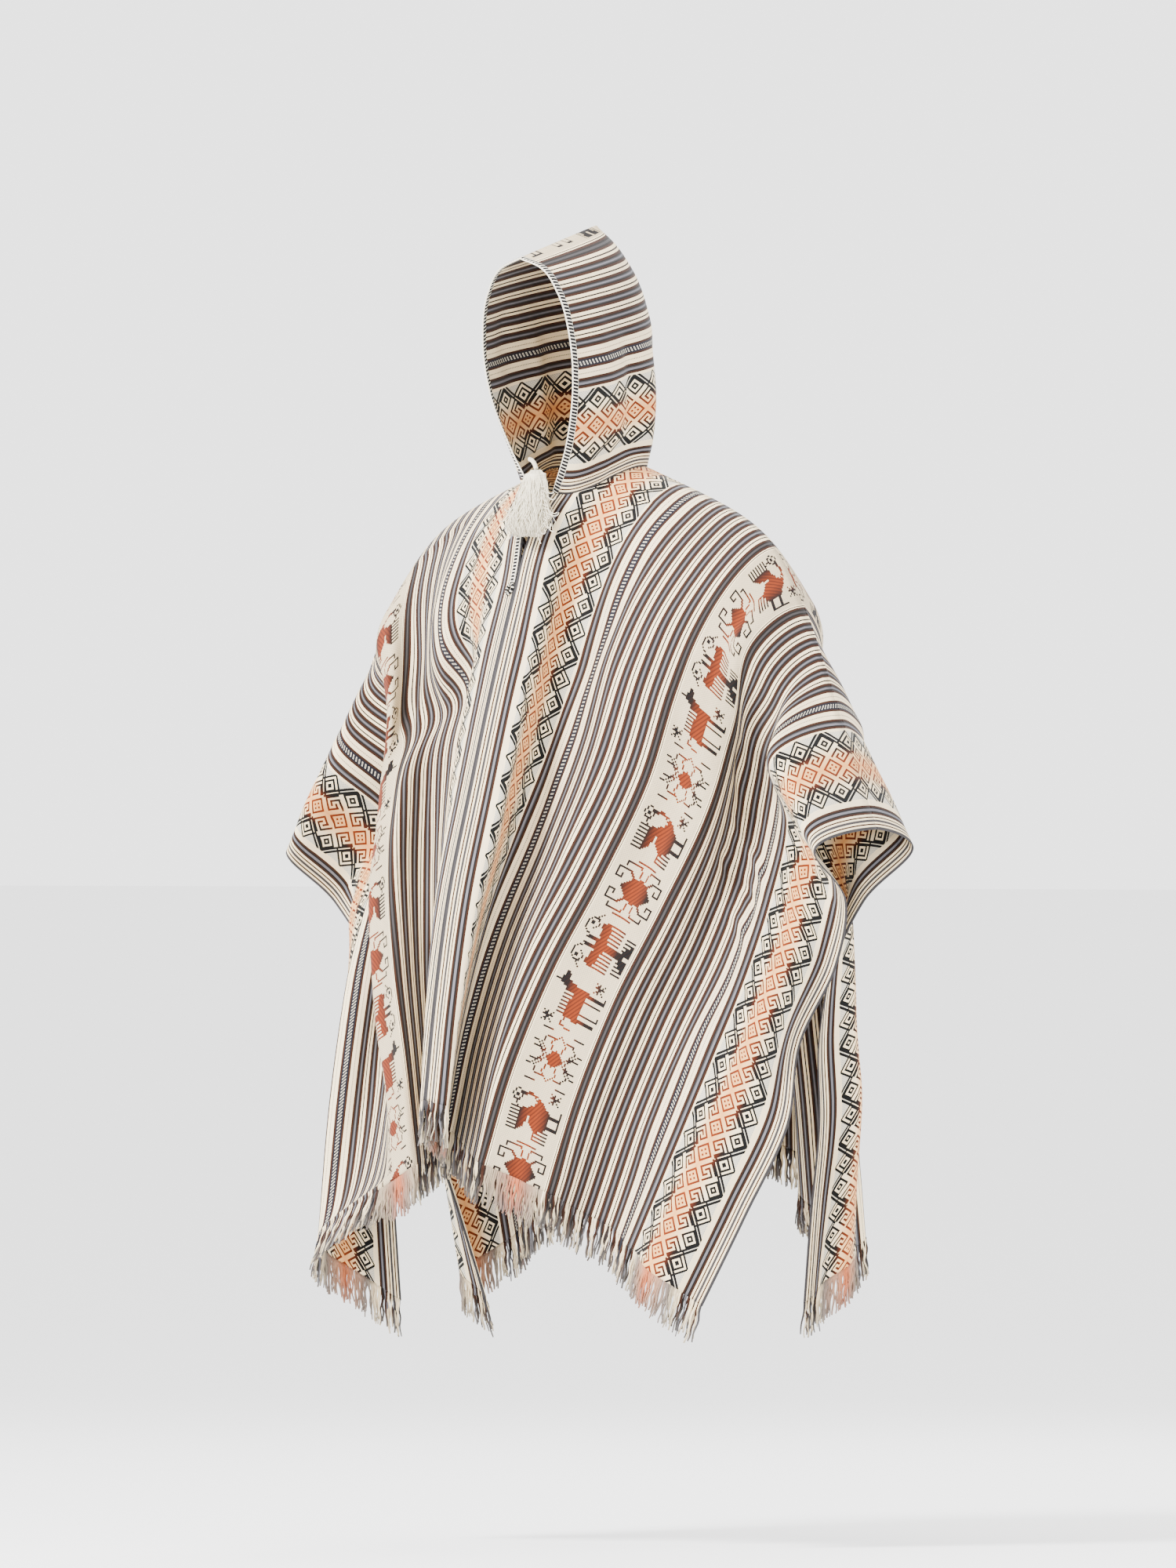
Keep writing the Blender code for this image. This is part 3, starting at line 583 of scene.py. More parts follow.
def smooth_step(x):
    x = np.clip(x, 0, 1)
    return x * x * (3 - 2 * x)


def sag_at(u, sag):
    past = u - SHOULDER_POINT
    soft = SHOULDER_ROUNDING * np.logaddexp(0.0, past / SHOULDER_ROUNDING)
    return sag * soft / (LOOM_WIDTH - SHOULDER_POINT)


def height_at(u, v, sag):
    ease = SHOULDER_EASE * (1 - (u / LOOM_WIDTH) ** 2) * (1 - math.exp(-v / SHOULDER_EASE_REACH))
    outward = 1 - (1 - u / LOOM_WIDTH) ** 2
    rise = HEM_RISE * outward * min(v / PANEL_LENGTH, 1) ** 2
    fall = WARP_STEEPNESS * v - ease - rise
    return NECK_RISE - fall - math.sin(WARP_TILT) * u - sag_at(u, sag) * math.exp(-v / SAG_REACH)


def fold_profile(folds, stretch, t, depth):
    profile = np.zeros_like(t)
    below_chest = smooth_step((depth - CHEST_END) / CHEST_FADE)
    for fold_stretch, top_place, hem_place, top_width, hem_width, chest_share, low_share in folds:
        if fold_stretch == stretch:
            place = top_place + (hem_place - top_place) * depth
            width = top_width + (hem_width - top_width) * depth
            share = chest_share + (low_share - chest_share) * below_chest
            near = np.clip(np.abs(t - place) / width, 0, 1)
            profile += share * np.cos(near**FOLD_ROUNDNESS * math.pi / 2) ** 2
    return profile * smooth_step(np.minimum(t, 1 - t) / FOLD_END)


def run_length(points):
    return np.linalg.norm(np.diff(points, axis=0), axis=1).sum()


def section(panel, v):
    """Plan (x, y) of the whole weft thread at depth v, and the cloth distance u of each of its points."""
    guides = smooth_between(panel["guides"], v / PANEL_LENGTH)[0].reshape(-1, 2)
    shares = np.array(list(GUIDE_SHARES.values()))
    u_fine = np.linspace(0, LOOM_WIDTH, SECTION_SAMPLES + 1)
    height = height_at(u_fine, v, panel["sag"])
    level_step = np.sqrt(np.clip(np.diff(u_fine) ** 2 - np.diff(height) ** 2, 1e-10, None))
    level_run = np.concatenate([[0], np.cumsum(level_step)])
    stops = np.interp(shares * LOOM_WIDTH, u_fine, level_run)
    base = np.column_stack([stops, guides])
    points, places = [], []
    for stretch in range(len(stops) - 1):
        t = np.linspace(0, 1, SECTION_SAMPLES // 2 + 1)
        run = stops[stretch] + t * (stops[stretch + 1] - stops[stretch])
        line = smooth_between(base, run)
        along = np.gradient(line, axis=0)
        along /= np.linalg.norm(along, axis=1)[:, None]
        outward = np.column_stack([-along[:, 1], along[:, 0]])
        if stretch == 0:
            lean = panel["side"] * panel["lean"]
            outward = np.array([[math.sin(lean), math.cos(lean)]])
        profile = fold_profile(panel["folds"], stretch, t, v / PANEL_LENGTH)[:, None]
        wanted = stops[stretch + 1] - stops[stretch]
        low, high = 0.0, MOST_FOLD
        for _ in range(FOLD_HALVINGS):
            middle = (low + high) / 2
            if run_length(line + middle * profile * outward) < wanted:
                low = middle
            else:
                high = middle
        curve = line + low * profile * outward
        steps = np.linalg.norm(np.diff(curve, axis=0), axis=1)
        share = np.concatenate([[0], np.cumsum(steps)]) / steps.sum()
        keep = slice(None) if stretch == 0 else slice(1, None)
        points.append(curve[keep])
        places.append((stops[stretch] + share * wanted)[keep])
    return np.concatenate(points), np.interp(np.concatenate(places), level_run, u_fine)


def neck_depth(front):
    return NECK_FRONT_DEPTH if front < 0 else NECK_BACK_DEPTH


def neck_edge(v, front):
    inside = 1 - (v / neck_depth(front)) ** 2
    return NECK_HALF_WIDTH * math.sqrt(inside) if inside > 0 else 0.0


def slit_spread(v, front):
    past = (v - NECK_FRONT_DEPTH) / SLIT_LENGTH
    if front > 0 or past > 1:
        return 0.0
    return SLIT_HALF_WIDTH * (1 - max(past, 0.0)) ** 1.5


def panel_depths(front):
    depth = neck_depth(front)
    near = depth * np.sin(np.linspace(0, math.pi / 2, NECK_ROWS + 1))
    below = np.linspace(depth, PANEL_LENGTH, 1 + round((PANEL_LENGTH - depth) / ROW_STEP))[1:]
    return np.concatenate([near, below])


def panel_points(panel, depths, us=None):
    """Middle surface of a panel, and its (u, v): rows down the panel, columns out from the middle seam."""
    columns = PANEL_COLUMNS + 1 if us is None else len(us)
    grid, cloth = np.zeros((len(depths), columns, 3)), np.zeros((len(depths), columns, 2))
    for row, v in enumerate(depths):
        plan, place = section(panel, min(v, PANEL_LENGTH))
        start = neck_edge(v, panel["front"])
        u = start + (LOOM_WIDTH - start) * np.linspace(0, 1, columns) if us is None else np.array(us)
        x = np.interp(u, place, plan[:, 0])
        y = np.interp(u, place, plan[:, 1])
        x = x + slit_spread(v, panel["front"]) * np.exp(-((u / SLIT_SPREAD_REACH) ** 2))
        grid[row] = np.column_stack([panel["side"] * x, panel["front"] * y, height_at(u, v, panel["sag"])])
        cloth[row] = np.column_stack([u, np.full(columns, v)])
    return grid, cloth


def grid_normals(grid, outward):
    normals = np.cross(np.gradient(grid, axis=1), np.gradient(grid, axis=0)) * outward
    return normals / np.linalg.norm(normals, axis=2)[:, :, None]


def crease_depth(creases, a, b):
    """How far the creases lift the cloth at each place (a, b)."""
    total = np.zeros_like(a)
    for a0, b0, a1, b1, width, depth in creases:
        along_a, along_b = a1 - a0, b1 - b0
        length = math.hypot(along_a, along_b)
        t = ((a - a0) * along_a + (b - b0) * along_b) / length**2
        aside = ((a - a0) * along_b - (b - b0) * along_a) / length
        bow = CREASE_BOW * width * np.sin(t * CREASE_WAVES + 40 * a0)
        fade = smooth_step(t / CREASE_END) * smooth_step((1 - t) / CREASE_END)
        total += CREASE_STRENGTH * depth * fade * np.exp(-(((aside + bow) / width) ** 2))
    return total


def hood_level(level, shares, first):
    """Points of the hood's left half at this level, from the face (0) round to the back seam (1)."""
    face_x, face_y, face_z, back_y, back_z, half = smooth_between(HOOD, level)[0]
    power = 2 / HOOD_SQUARENESS
    start = math.asin(min(1.0, (face_x / half) ** (1 / power))) if half > 1e-4 else math.pi / 2
    angle = np.linspace(start, math.pi, SECTION_SAMPLES)
    x = half * np.sin(angle) ** power
    forward = np.sign(np.cos(angle)) * np.abs(np.cos(angle)) ** power
    y = back_y + (face_y - back_y) * (forward + 1) / (forward[0] + 1)
    run = np.concatenate([[0], np.cumsum(np.hypot(np.diff(x), np.diff(y)))])
    z = face_z + (back_z - face_z) * run / run[-1]
    at = np.array(shares) * run[-1]
    at[0] = first
    return np.column_stack([np.interp(at, run, x), -np.interp(at, run, y), np.interp(at, run, z)])


def hood_points(neck, rows, shares, first):
    """Middle surface of the hood's left half, standing on the neck hole's edge."""
    run = np.concatenate([[0], np.cumsum(np.linalg.norm(np.diff(neck, axis=0), axis=1))])
    at = np.array(shares) * run[-1]
    at[0] = first
    base = np.column_stack([np.interp(at, run, neck[:, axis]) for axis in range(3)])
    levels = np.linspace(0, 1, rows + 1)
    grid = np.array([hood_level(level, shares, first) for level in levels])
    return grid + (base - grid[0]) * (1 - levels)[:, None, None] ** 3


def linear(colour):
    """A colour as it looks, as linear light with alpha."""
    light = [c / 12.92 if c <= 0.04045 else ((c + 0.055) / 1.055) ** 2.4 for c in colour]
    return (*light, 1.0)


class Field:
    """A number that varies over the surface: a shader socket that arithmetic works on."""

    def __init__(self, tree, socket):
        self.tree, self.socket = tree, socket

    def math(self, operation, *others):
        node = self.tree.nodes.new("ShaderNodeMath")
        node.operation = operation
        for place, value in zip(node.inputs, (self, *others)):
            plug(self.tree, place, value)
        return Field(self.tree, node.outputs[0])

    def __add__(self, other):
        return self.math("ADD", other)

    def __sub__(self, other):
        return self.math("SUBTRACT", other)

    def __mul__(self, other):
        return self.math("MULTIPLY", other)

    def __truediv__(self, other):
        return self.math("DIVIDE", other)

    def floor(self):
        return self.math("FLOOR")

    def fraction(self):
        return self.math("FRACT")

    def abs(self):
        return self.math("ABSOLUTE")

    def wrap(self, span):
        return self.math("FLOORED_MODULO", span)

    def above(self, limit):
        return self.math("GREATER_THAN", limit)

    def below(self, limit):
        return self.math("LESS_THAN", limit)

    def between(self, low, high):
        return self.above(low) * self.below(high)

    def either(self, other):
        return self.math("MAXIMUM", other)

    def invert(self):
        return (self * -1) + 1


def plug(tree, place, value):
    if isinstance(value, Field):
        tree.links.new(value.socket, place)
    elif isinstance(value, bpy.types.NodeSocket):
        tree.links.new(value, place)
    else:
        place.default_value = value


def blend(tree, mask, low, high, kind="MIX"):
    """Colour `low` where mask is 0 and `high` where it is 1."""
    node = tree.nodes.new("ShaderNodeMix")
    node.data_type, node.blend_type = "RGBA", kind
    plug(tree, node.inputs[0], mask)
    for place, value in ((node.inputs[6], low), (node.inputs[7], high)):
        plug(tree, place, linear(value) if isinstance(value, tuple) and len(value) == 3 else value)
    return node.outputs[2]


def ramp(tree, at, stops, interpolation="CONSTANT"):
    """A ramp's colour socket; stops are (place from 0 to 1, RGBA)."""
    node = tree.nodes.new("ShaderNodeValToRGB")
    node.color_ramp.interpolation = interpolation
    plug(tree, node.inputs[0], at)
    elements = node.color_ramp.elements
    elements.remove(elements[1])
    elements[0].position, elements[0].color = stops[0]
    for place, colour in stops[1:]:
        elements.new(place).color = colour
    return node.outputs[0]


def stripes(tree, at, span, table):
    """Stripes across a span of centimetres."""
    return ramp(tree, at / span, [(place / span, linear(colour)) for place, colour in table])


def fade(tree, at, table):
    """Colours that run into each other; table is (place from 0 to 1, colour)."""
    return ramp(tree, at, [(place, linear(colour)) for place, colour in table], "LINEAR")


def bit_of(tree, columns, at, row):
    """1 where a chart is filled. columns holds, for each step along, one number in each of R, G and B, whose
    bits are CHANNEL_ROWS rows each; `at` runs from 0 to 1 along and row counts from 0."""
    most = 2**CHANNEL_ROWS
    stops = [(k / len(columns), (*[c / most for c in column], 1.0)) for k, column in enumerate(columns)]
    split = tree.nodes.new("ShaderNodeSeparateColor")
    tree.links.new(ramp(tree, at, stops), split.inputs[0])
    channel = (row / CHANNEL_ROWS).floor()
    value = Field(tree, split.outputs[0]) * channel.below(0.5)
    value = value + Field(tree, split.outputs[1]) * channel.between(0.5, 1.5)
    value = value + Field(tree, split.outputs[2]) * channel.above(1.5)
    weight = value * 0 + 2
    weight = weight.math("POWER", row - channel * CHANNEL_ROWS)
    return ((value * most + 0.5) / weight).floor().wrap(2).above(0.5)


def draw_line(chart, points):
    for (x0, y0), (x1, y1) in zip(points, points[1:]):
        steps = max(abs(x1 - x0), abs(y1 - y0))
        for k in range(steps + 1):
            chart[round(x0 + (x1 - x0) * k / steps), round(y0 + (y1 - y0) * k / steps)] = True


def fill_inside(chart, corners):
    """Fills each square inside the closed shape, by counting the edges on one side of it."""
    for x in range(chart.shape[0]):
        for y in range(chart.shape[1]):
            inside = False
            for (x0, y0), (x1, y1) in zip(corners, (*corners[1:], corners[0])):
                if (y0 > y) != (y1 > y) and x < x0 + (x1 - x0) * (y - y0) / (y1 - y0):
                    inside = not inside
            chart[x, y] |= inside


def draw_figure(mirrored, strokes):
    """The filled squares of a figure, as FIGURE_COLUMNS columns of FIGURE_ROWS."""
    chart = np.zeros((FIGURE_COLUMNS, FIGURE_ROWS), bool)
    for kind, *facts in strokes:
        if kind == "box":
            x0, y0, x1, y1 = facts
            chart[x0 : x1 + 1, y0 : y1 + 1] = True
        elif kind == "comb":
            x0, x1, y0, y1 = facts
            chart[x0 : x1 + 1 : 2, y0 : y1 + 1] = True
        elif kind == "hash":
            x, y = facts
            draw_line(chart, ((x, y), (x + 5, y + 5)))
            draw_line(chart, ((x + 5, y), (x, y + 5)))
            chart[x : x + 6, y + 2] = chart[x + 2, y : y + 6] = True
        elif kind == "line":
            draw_line(chart, facts)
        else:
            draw_line(chart, (*facts, facts[0]))
            fill_inside(chart, facts)
    return chart | chart[::-1] if mirrored else chart


def chart_numbers(chart):
    """One (R, G, B) of row bits for each column of a chart."""
    rows = np.zeros((chart.shape[0], 3 * CHANNEL_ROWS), int)
    rows[:, : chart.shape[1]] = chart
    weights = 2 ** np.arange(CHANNEL_ROWS)
    return (rows.reshape(len(chart), 3, CHANNEL_ROWS) * weights).sum(axis=2).tolist()


def dotted(p, v, pitch, share):
    """1 on small diamonds that stand in slanting rows."""
    return ((v + p) / pitch).fraction().below(share) * ((v - p) / pitch).fraction().below(share)


def lattice(tree, p, v):
    """Colour of the lattice band, p from its middle. Its cells stand on their corners: i and j count them
    along the two slants, a and b are the place inside a cell, and column is 0 in the middle. Two zigzags run
    round the outer cells."""
    aside = p.abs()
    i = (v + aside) / (2 * CELL_HALF) + 0.5
    j = (v - aside) / (2 * CELL_HALF) + 0.5
    cell_i, cell_j = i.floor(), j.floor()
    a, b = i - cell_i, j - cell_j
    column = cell_i - cell_j
    turn = (cell_i + cell_j).wrap(4)
    charts = [np.array([[c == "#" for c in row] for row in chart]) for chart in (FLOWER, HOOK, BIG_EYE)]
    numbers = np.stack([[n[0] for n in chart_numbers(chart)] for chart in charts], axis=1).tolist()
    row = (b * CELL_STEPS).floor()
    second, outer = column.between(0.5, 1.5), column.between(1.5, 2.5)
    big = outer * turn.between(1.5, 2.5)
    small = outer * turn.below(0.5)
    channel = second * CHANNEL_ROWS + big * (2 * CHANNEL_ROWS)
    marks = bit_of(tree, numbers, a, row + channel) * small.invert() * column.below(2.5)
    small_chart = np.array([[c == "#" for c in row] for row in SMALL_EYE])
    marks = marks.either(bit_of(tree, chart_numbers(small_chart), a, row) * small)
    beyond = column.above(2.5)
    left, right = turn.between(0.5, 1.5), turn.between(2.5, 3.5)
    inner_right = (big + second * right) * a.between(0.88, 1.01)
    inner_left = (big + second * left) * b.between(-0.01, 0.12)
    outer_right = (beyond * right + small) * a.between(0.05, 0.18)
    outer_left = (beyond * left + small) * b.between(0.82, 0.95)
    marks = marks.either(inner_right + inner_left).either(outer_right + outer_left)
    wide = aside / LATTICE_HALF
    line = fade(tree, wide, LATTICE_LINES)
    ground = fade(tree, wide, LATTICE_GROUND)
    quiet = blend(tree, dotted(p, v, 0.0034, 0.5) * 0.45, PALE, GRAY)
    ground = blend(tree, beyond * aside.below(LATTICE_DOTS_END), ground, quiet)
    return blend(tree, marks * aside.below(LATTICE_MARKS_END), ground, line)


def animals(tree, p, v):
    """Colour of the animal band, p from its middle."""
    slot_length = FIGURE_COLUMNS * FIGURE_STEP
    place = v / slot_length
    slot = place.floor().wrap(len(FIGURES))
    row = ((p + FIGURE_ROWS * FIGURE_STEP / 2) / FIGURE_STEP).floor()
    marks = None
    for number, (mirrored, *strokes) in enumerate(FIGURES):
        columns = chart_numbers(draw_figure(mirrored, strokes))
        mark = bit_of(tree, columns, place.fraction(), row) * slot.between(number - 0.5, number + 0.5)
        marks = mark if marks is None else marks + mark
    wide = p.abs() / ANIMALS_END
    line = fade(tree, wide, ANIMAL_LINES)
    ground = blend(tree, dotted(p, v, 0.0037, 0.4) * 0.45, BONE, SHADOW_GRAY)
    hatch = ((v * 0.6 + p) / HATCH_PITCH).fraction().below(0.42)
    line = blend(tree, hatch * 0.5, line, UMBER)
    return blend(tree, marks, ground, line)


def striped(tree, d, v):
    """Colour of all the stripes; d is the distance from the panel's middle."""
    g = (d * -1 + LATTICE_START) * 100
    near = stripes(tree, g, NEAR_SPAN, NEAR_STRIPES)
    dots = (v / DOT_PITCH).fraction().below(0.5)
    near = blend(tree, dots * (g - GRAY_DOTS_AT).abs().below(DOT_HALF), near, GRAY)
    near = blend(tree, dots * (g - RED_DOTS_AT).abs().below(DOT_HALF), near, RED_BROWN)
    aside = (g - CHAIN_AT) / CHAIN_HALF
    phase = (v / CHAIN_PITCH + aside * 0.45).fraction()
    twist = phase.between(0.30, 0.70) * aside.abs().below(0.55)
    core = phase.between(0.43, 0.57) * aside.abs().below(0.25)
    near = blend(tree, twist * core.invert(), near, PALE)
    repeat = stripes(tree, (g - NEAR_SPAN).wrap(REPEAT_SPAN), REPEAT_SPAN, REPEAT_STRIPES)
    far = stripes(tree, g - FAR_START, FAR_SPAN, FAR_STRIPES)
    colour = blend(tree, g.above(NEAR_SPAN), near, repeat)
    colour = blend(tree, g.above(FAR_START), colour, far)
    edge = stripes(tree, (d - EDGE_START) * 100, EDGE_SPAN, EDGE_STRIPES)
    return blend(tree, d.above(EDGE_START), colour, edge)


def noise(tree, vector, scale, detail=2.0):
    node = tree.nodes.new("ShaderNodeTexNoise")
    node.inputs["Scale"].default_value = scale
    node.inputs["Detail"].default_value = detail
    tree.links.new(vector, node.inputs["Vector"])
    return Field(tree, node.outputs["Fac"])


def joined(tree, x, y):
    node = tree.nodes.new("ShaderNodeCombineXYZ")
    plug(tree, node.inputs[0], x)
    plug(tree, node.inputs[1], y)
    return node.outputs[0]


def new_material(name, roughness):
    material = bpy.data.materials.new(name)
    material.use_nodes = True
    tree = material.node_tree
    shader = tree.nodes["Principled BSDF"]
    shader.inputs["Roughness"].default_value = roughness
    shader.inputs["Sheen Weight"].default_value = 0.05
    shader.inputs["Sheen Roughness"].default_value = 0.55
    shader.inputs["Specular IOR Level"].default_value = 0.10
    place = tree.nodes.new("ShaderNodeUVMap")
    place.uv_map = "cloth"
    split = tree.nodes.new("ShaderNodeSeparateXYZ")
    tree.links.new(place.outputs[0], split.inputs[0])
    return material, tree, shader, Field(tree, split.outputs[0]), Field(tree, split.outputs[1])


def bump(tree, shader, height, distance, strength=1.0):
    node = tree.nodes.new("ShaderNodeBump")
    node.inputs["Distance"].default_value = distance
    node.inputs["Strength"].default_value = strength
    plug(tree, node.inputs["Height"], height)
    tree.links.new(node.outputs[0], shader.inputs["Normal"])


def yarn(tree, u, v, colour, across=900, along=60):
    """The colour, a little lighter and darker from yarn to yarn and in soft worn patches."""
    streaks = noise(tree, joined(tree, u * across, v * along), 1.0)
    patches = noise(tree, joined(tree, u, v), 14.0)
    shade = streaks * YARN_STREAKS + patches * YARN_PATCHES + YARN_DARKEST
    gray = tree.nodes.new("ShaderNodeCombineColor")
    for place in gray.inputs[:3]:
        plug(tree, place, shade)
    return blend(tree, 1.0, colour, gray.outputs[0], "MULTIPLY")


def cloth_material():
    """The woven cloth: warp stripes, lattice and animals, with the weave's ribs."""
    material, tree, shader, u, v = new_material("poncho_cloth", 0.85)
    p = u - PANEL_MIDDLE
    d = p.abs()
    colour = striped(tree, d, v)
    colour = blend(tree, d.below(ANIMALS_END), colour, animals(tree, p, v))
    in_lattice = d.between(LATTICE_START, EDGE_START)
    along = v * (p.above(0.0) * (OUTER_STRETCH - 1) + 1)
    colour = blend(tree, in_lattice, colour, lattice(tree, d - LATTICE_MIDDLE, along))
    plug(tree, shader.inputs["Base Color"], yarn(tree, u, v, colour))
    warp = u / WARP_PITCH
    rib = (warp * math.pi).math("SINE").abs()
    pick = ((v / PICK_PITCH + warp.floor() * 0.5) * math.pi).math("SINE").abs()
    bump(tree, shader, rib * 0.5 + pick * 0.5, WEAVE_DEPTH, WEAVE_STRENGTH)
    return material


def fringe_material():
    """Warp ends in the colours they have in the cloth, grayer at the tips."""
    material, tree, shader, u, v = new_material("poncho_fringe", 0.95)
    p = u - PANEL_MIDDLE
    d = p.abs()
    colour = striped(tree, d, v * 0)
    lattice_mix = fade(tree, (d - LATTICE_START) / (EDGE_START - LATTICE_START), FRINGE_LATTICE)
    animal_mix = fade(tree, d / ANIMALS_END, FRINGE_ANIMALS)
    colour = blend(tree, d.below(ANIMALS_END), colour, animal_mix)
    colour = blend(tree, d.between(LATTICE_START, EDGE_START), colour, lattice_mix)
    tip = ((v - WORN_FROM) / (1 - WORN_FROM)).math("MAXIMUM", 0.0)
    colour = blend(tree, tip * 0.6, colour, WORN_TIP)
    plug(tree, shader.inputs["Base Color"], yarn(tree, u, v, colour, 2600, 5))
    bump(tree, shader, noise(tree, joined(tree, u * 3000, v * 60), 1.0), 0.0008)
    return material


def braid_material():
    """White braid with black slanted rungs; u runs across it and v along it."""
    material, tree, shader, u, v = new_material("poncho_braid", 0.85)
    turns = v / RUNG_PITCH + u * RUNG_SLANT
    rung = turns.fraction().below(RUNG_SHARE) * u.between(BRAID_PIPING, BRAID_WIDTH - BRAID_PIPING)
    colour = blend(tree, rung, WHITE, INK)
    plug(tree, shader.inputs["Base Color"], yarn(tree, u, v, colour, 2000, 400))
    plies = (turns * (4 * math.pi)).math("SINE")
    bump(tree, shader, plies * 0.5 + 0.5, 0.0006, 0.8)
    return material


def wool_material():
    """Loose off-white wool."""
    material, tree, shader, u, v = new_material("poncho_wool", 0.95)
    shader.inputs["Sheen Weight"].default_value = 0.3
    streaks = noise(tree, joined(tree, u * 900, v * 30), 1.0)
    plug(tree, shader.inputs["Base Color"], blend(tree, streaks, WOOL_DARK, WOOL_LIGHT))
    bump(tree, shader, noise(tree, joined(tree, u * 1600, v * 200), 1.0), 0.0006)
    return material


def new_mesh(name, points, faces, places, material):
    """A smooth mesh; places are each vertex's cloth (u, v)."""
    mesh = bpy.data.meshes.new(name)
    mesh.from_pydata(points.tolist(), [], faces)
    layer = mesh.uv_layers.new(name="cloth")
    corner = np.zeros(len(mesh.loops), int)
    mesh.loops.foreach_get("vertex_index", corner)
    layer.data.foreach_set("uv", places[corner].ravel())
    mesh.shade_smooth()
    mesh.materials.append(material)
    piece = bpy.data.objects.new(name, mesh)
    bpy.context.scene.collection.objects.link(piece)
    return piece


def grid_faces(rows, columns):
    index = np.arange(rows * columns).reshape(rows, columns)
    faces = np.stack([index[:-1, :-1], index[1:, :-1], index[1:, 1:], index[:-1, 1:]], axis=-1)
    return faces.reshape(-1, 4).tolist()


def ring_faces(strands, rows, sides):
    """Faces and end caps of closed tubes; vertices run round each ring, ring by ring, tube by tube."""
    index = np.arange(strands * rows * sides).reshape(strands, rows, sides)
    turned = np.roll(index, -1, axis=2)
    faces = np.stack([index[:, :-1], turned[:, :-1], turned[:, 1:], index[:, 1:]], axis=-1)
    return faces.reshape(-1, 4).tolist() + np.concatenate([index[:, 0, ::-1], index[:, -1]]).tolist()


def new_shell(name, grid, places, material, thickness):
    """A sheet as thick as its cloth."""
    rows, columns = grid.shape[:2]
    piece = new_mesh(name, grid.reshape(-1, 3), grid_faces(rows, columns), places.reshape(-1, 2), material)
    wall = piece.modifiers.new("wall", "SOLIDIFY")
    wall.thickness = thickness
    wall.offset = 0
    return piece


def tubes(name, routes, radii, places, sides, material):
    """Many thin round strands as one mesh. routes: strands x points x 3; places: strands x points x 2."""
    routes = np.asarray(routes)
    strands, points = routes.shape[:2]
    along = np.gradient(routes, axis=1)
    along /= np.linalg.norm(along, axis=2)[:, :, None] + 1e-12
    aside = np.cross(along, [0.37, 0.93, 0.05])
    aside /= np.linalg.norm(aside, axis=2)[:, :, None]
    other = np.cross(along, aside)
    turn = np.linspace(0, 2 * math.pi, sides, endpoint=False)
    ring = np.cos(turn)[:, None] * aside[:, :, None] + np.sin(turn)[:, None] * other[:, :, None]
    vertices = routes[:, :, None] + ring * np.asarray(radii)[:, :, None, None]
    uv = np.repeat(np.asarray(places)[:, :, None], sides, axis=2)
    faces = ring_faces(strands, points, sides)
    return new_mesh(name, vertices.reshape(-1, 3), faces, uv.reshape(-1, 2), material)


def build_panel(name, panel, material):
    """The panel's shell, its grid and its cloth places."""
    depths = panel_depths(panel["front"])
    grid, cloth = panel_points(panel, depths)
    normal = grid_normals(grid, panel["side"] * panel["front"])
    u, v = cloth[..., 0], cloth[..., 1]
    start = np.array([neck_edge(depth, panel["front"]) for depth in depths])[:, None]
    at_edges = smooth_step((u - start) / CREASE_FREE_EDGE) * smooth_step(v / CREASE_FREE_EDGE)
    lift = crease_depth(panel["creases"], u, v) * at_edges
    grid = grid + normal * lift[..., None]
    inner = grid[:, 1] - grid[:, 0]
    grid[:, 0] += SEAM_GAP * inner / np.linalg.norm(inner, axis=1)[:, None]
    places = cloth + [0, panel["start"]]
    return new_shell(name + "_cloth", grid, places, material, CLOTH_THICKNESS), grid, cloth


def build_fringe(name, grid, cloth, random, material):
    """The warps' loose ends: wavy bundles that hang from the hem and tangle with their neighbours."""
    count = int(LOOM_WIDTH / STRAND_PITCH)
    u = (np.arange(count) + 0.5) * STRAND_PITCH + random.normal(0, STRAND_SCATTER, count)
    hem, above = grid[-1], grid[-4]
    hem_u = cloth[-1, :, 0]
    root = np.column_stack([np.interp(u, hem_u, hem[:, axis]) for axis in range(3)])
    slope = np.column_stack([np.interp(u, hem_u, (hem - above)[:, axis]) for axis in range(3)])
    slope /= np.linalg.norm(slope, axis=1)[:, None]
    along_hem = np.gradient(root, axis=0) * [1, 1, 0]
    along_hem /= np.linalg.norm(along_hem, axis=1)[:, None]
    across_hem = np.column_stack([-along_hem[:, 1], along_hem[:, 0], 0 * u])
    length = FRINGE_LENGTH * (0.78 + 0.24 * random.random(count))
    t = np.linspace(0, 1, STRAND_POINTS)
    heading = slope * 0.55 + np.array([0, 0, -0.45])
    heading /= np.linalg.norm(heading, axis=1)[:, None]
    route = root[:, None] + heading[:, None] * (length[:, None] * t)[..., None]
    phase = 2 * math.pi * random.random((count, 2, 1))
    turns = 2 * math.pi * (0.8 + 1.4 * random.random((count, 2, 1)))
    sway = random.normal(0, 1, (count, 2, 1)) * STRAND_SWAY * t**1.6
    wave = STRAND_WAVE * (np.sin(turns * t + phase) - np.sin(phase)) * np.minimum(1, 3 * t)
    aside = sway + wave
    route += aside[:, 0, :, None] * along_hem[:, None] + aside[:, 1, :, None] * across_hem[:, None]
    radii = STRAND_RADIUS * (1 - 0.35 * t**2)[None, :] * (0.75 + 0.5 * random.random((count, 1)))
    places = np.stack([np.repeat(u[:, None], STRAND_POINTS, 1), np.repeat(t[None], count, 0)], axis=-1)
    return tubes(name, route, radii, places, 5, material)


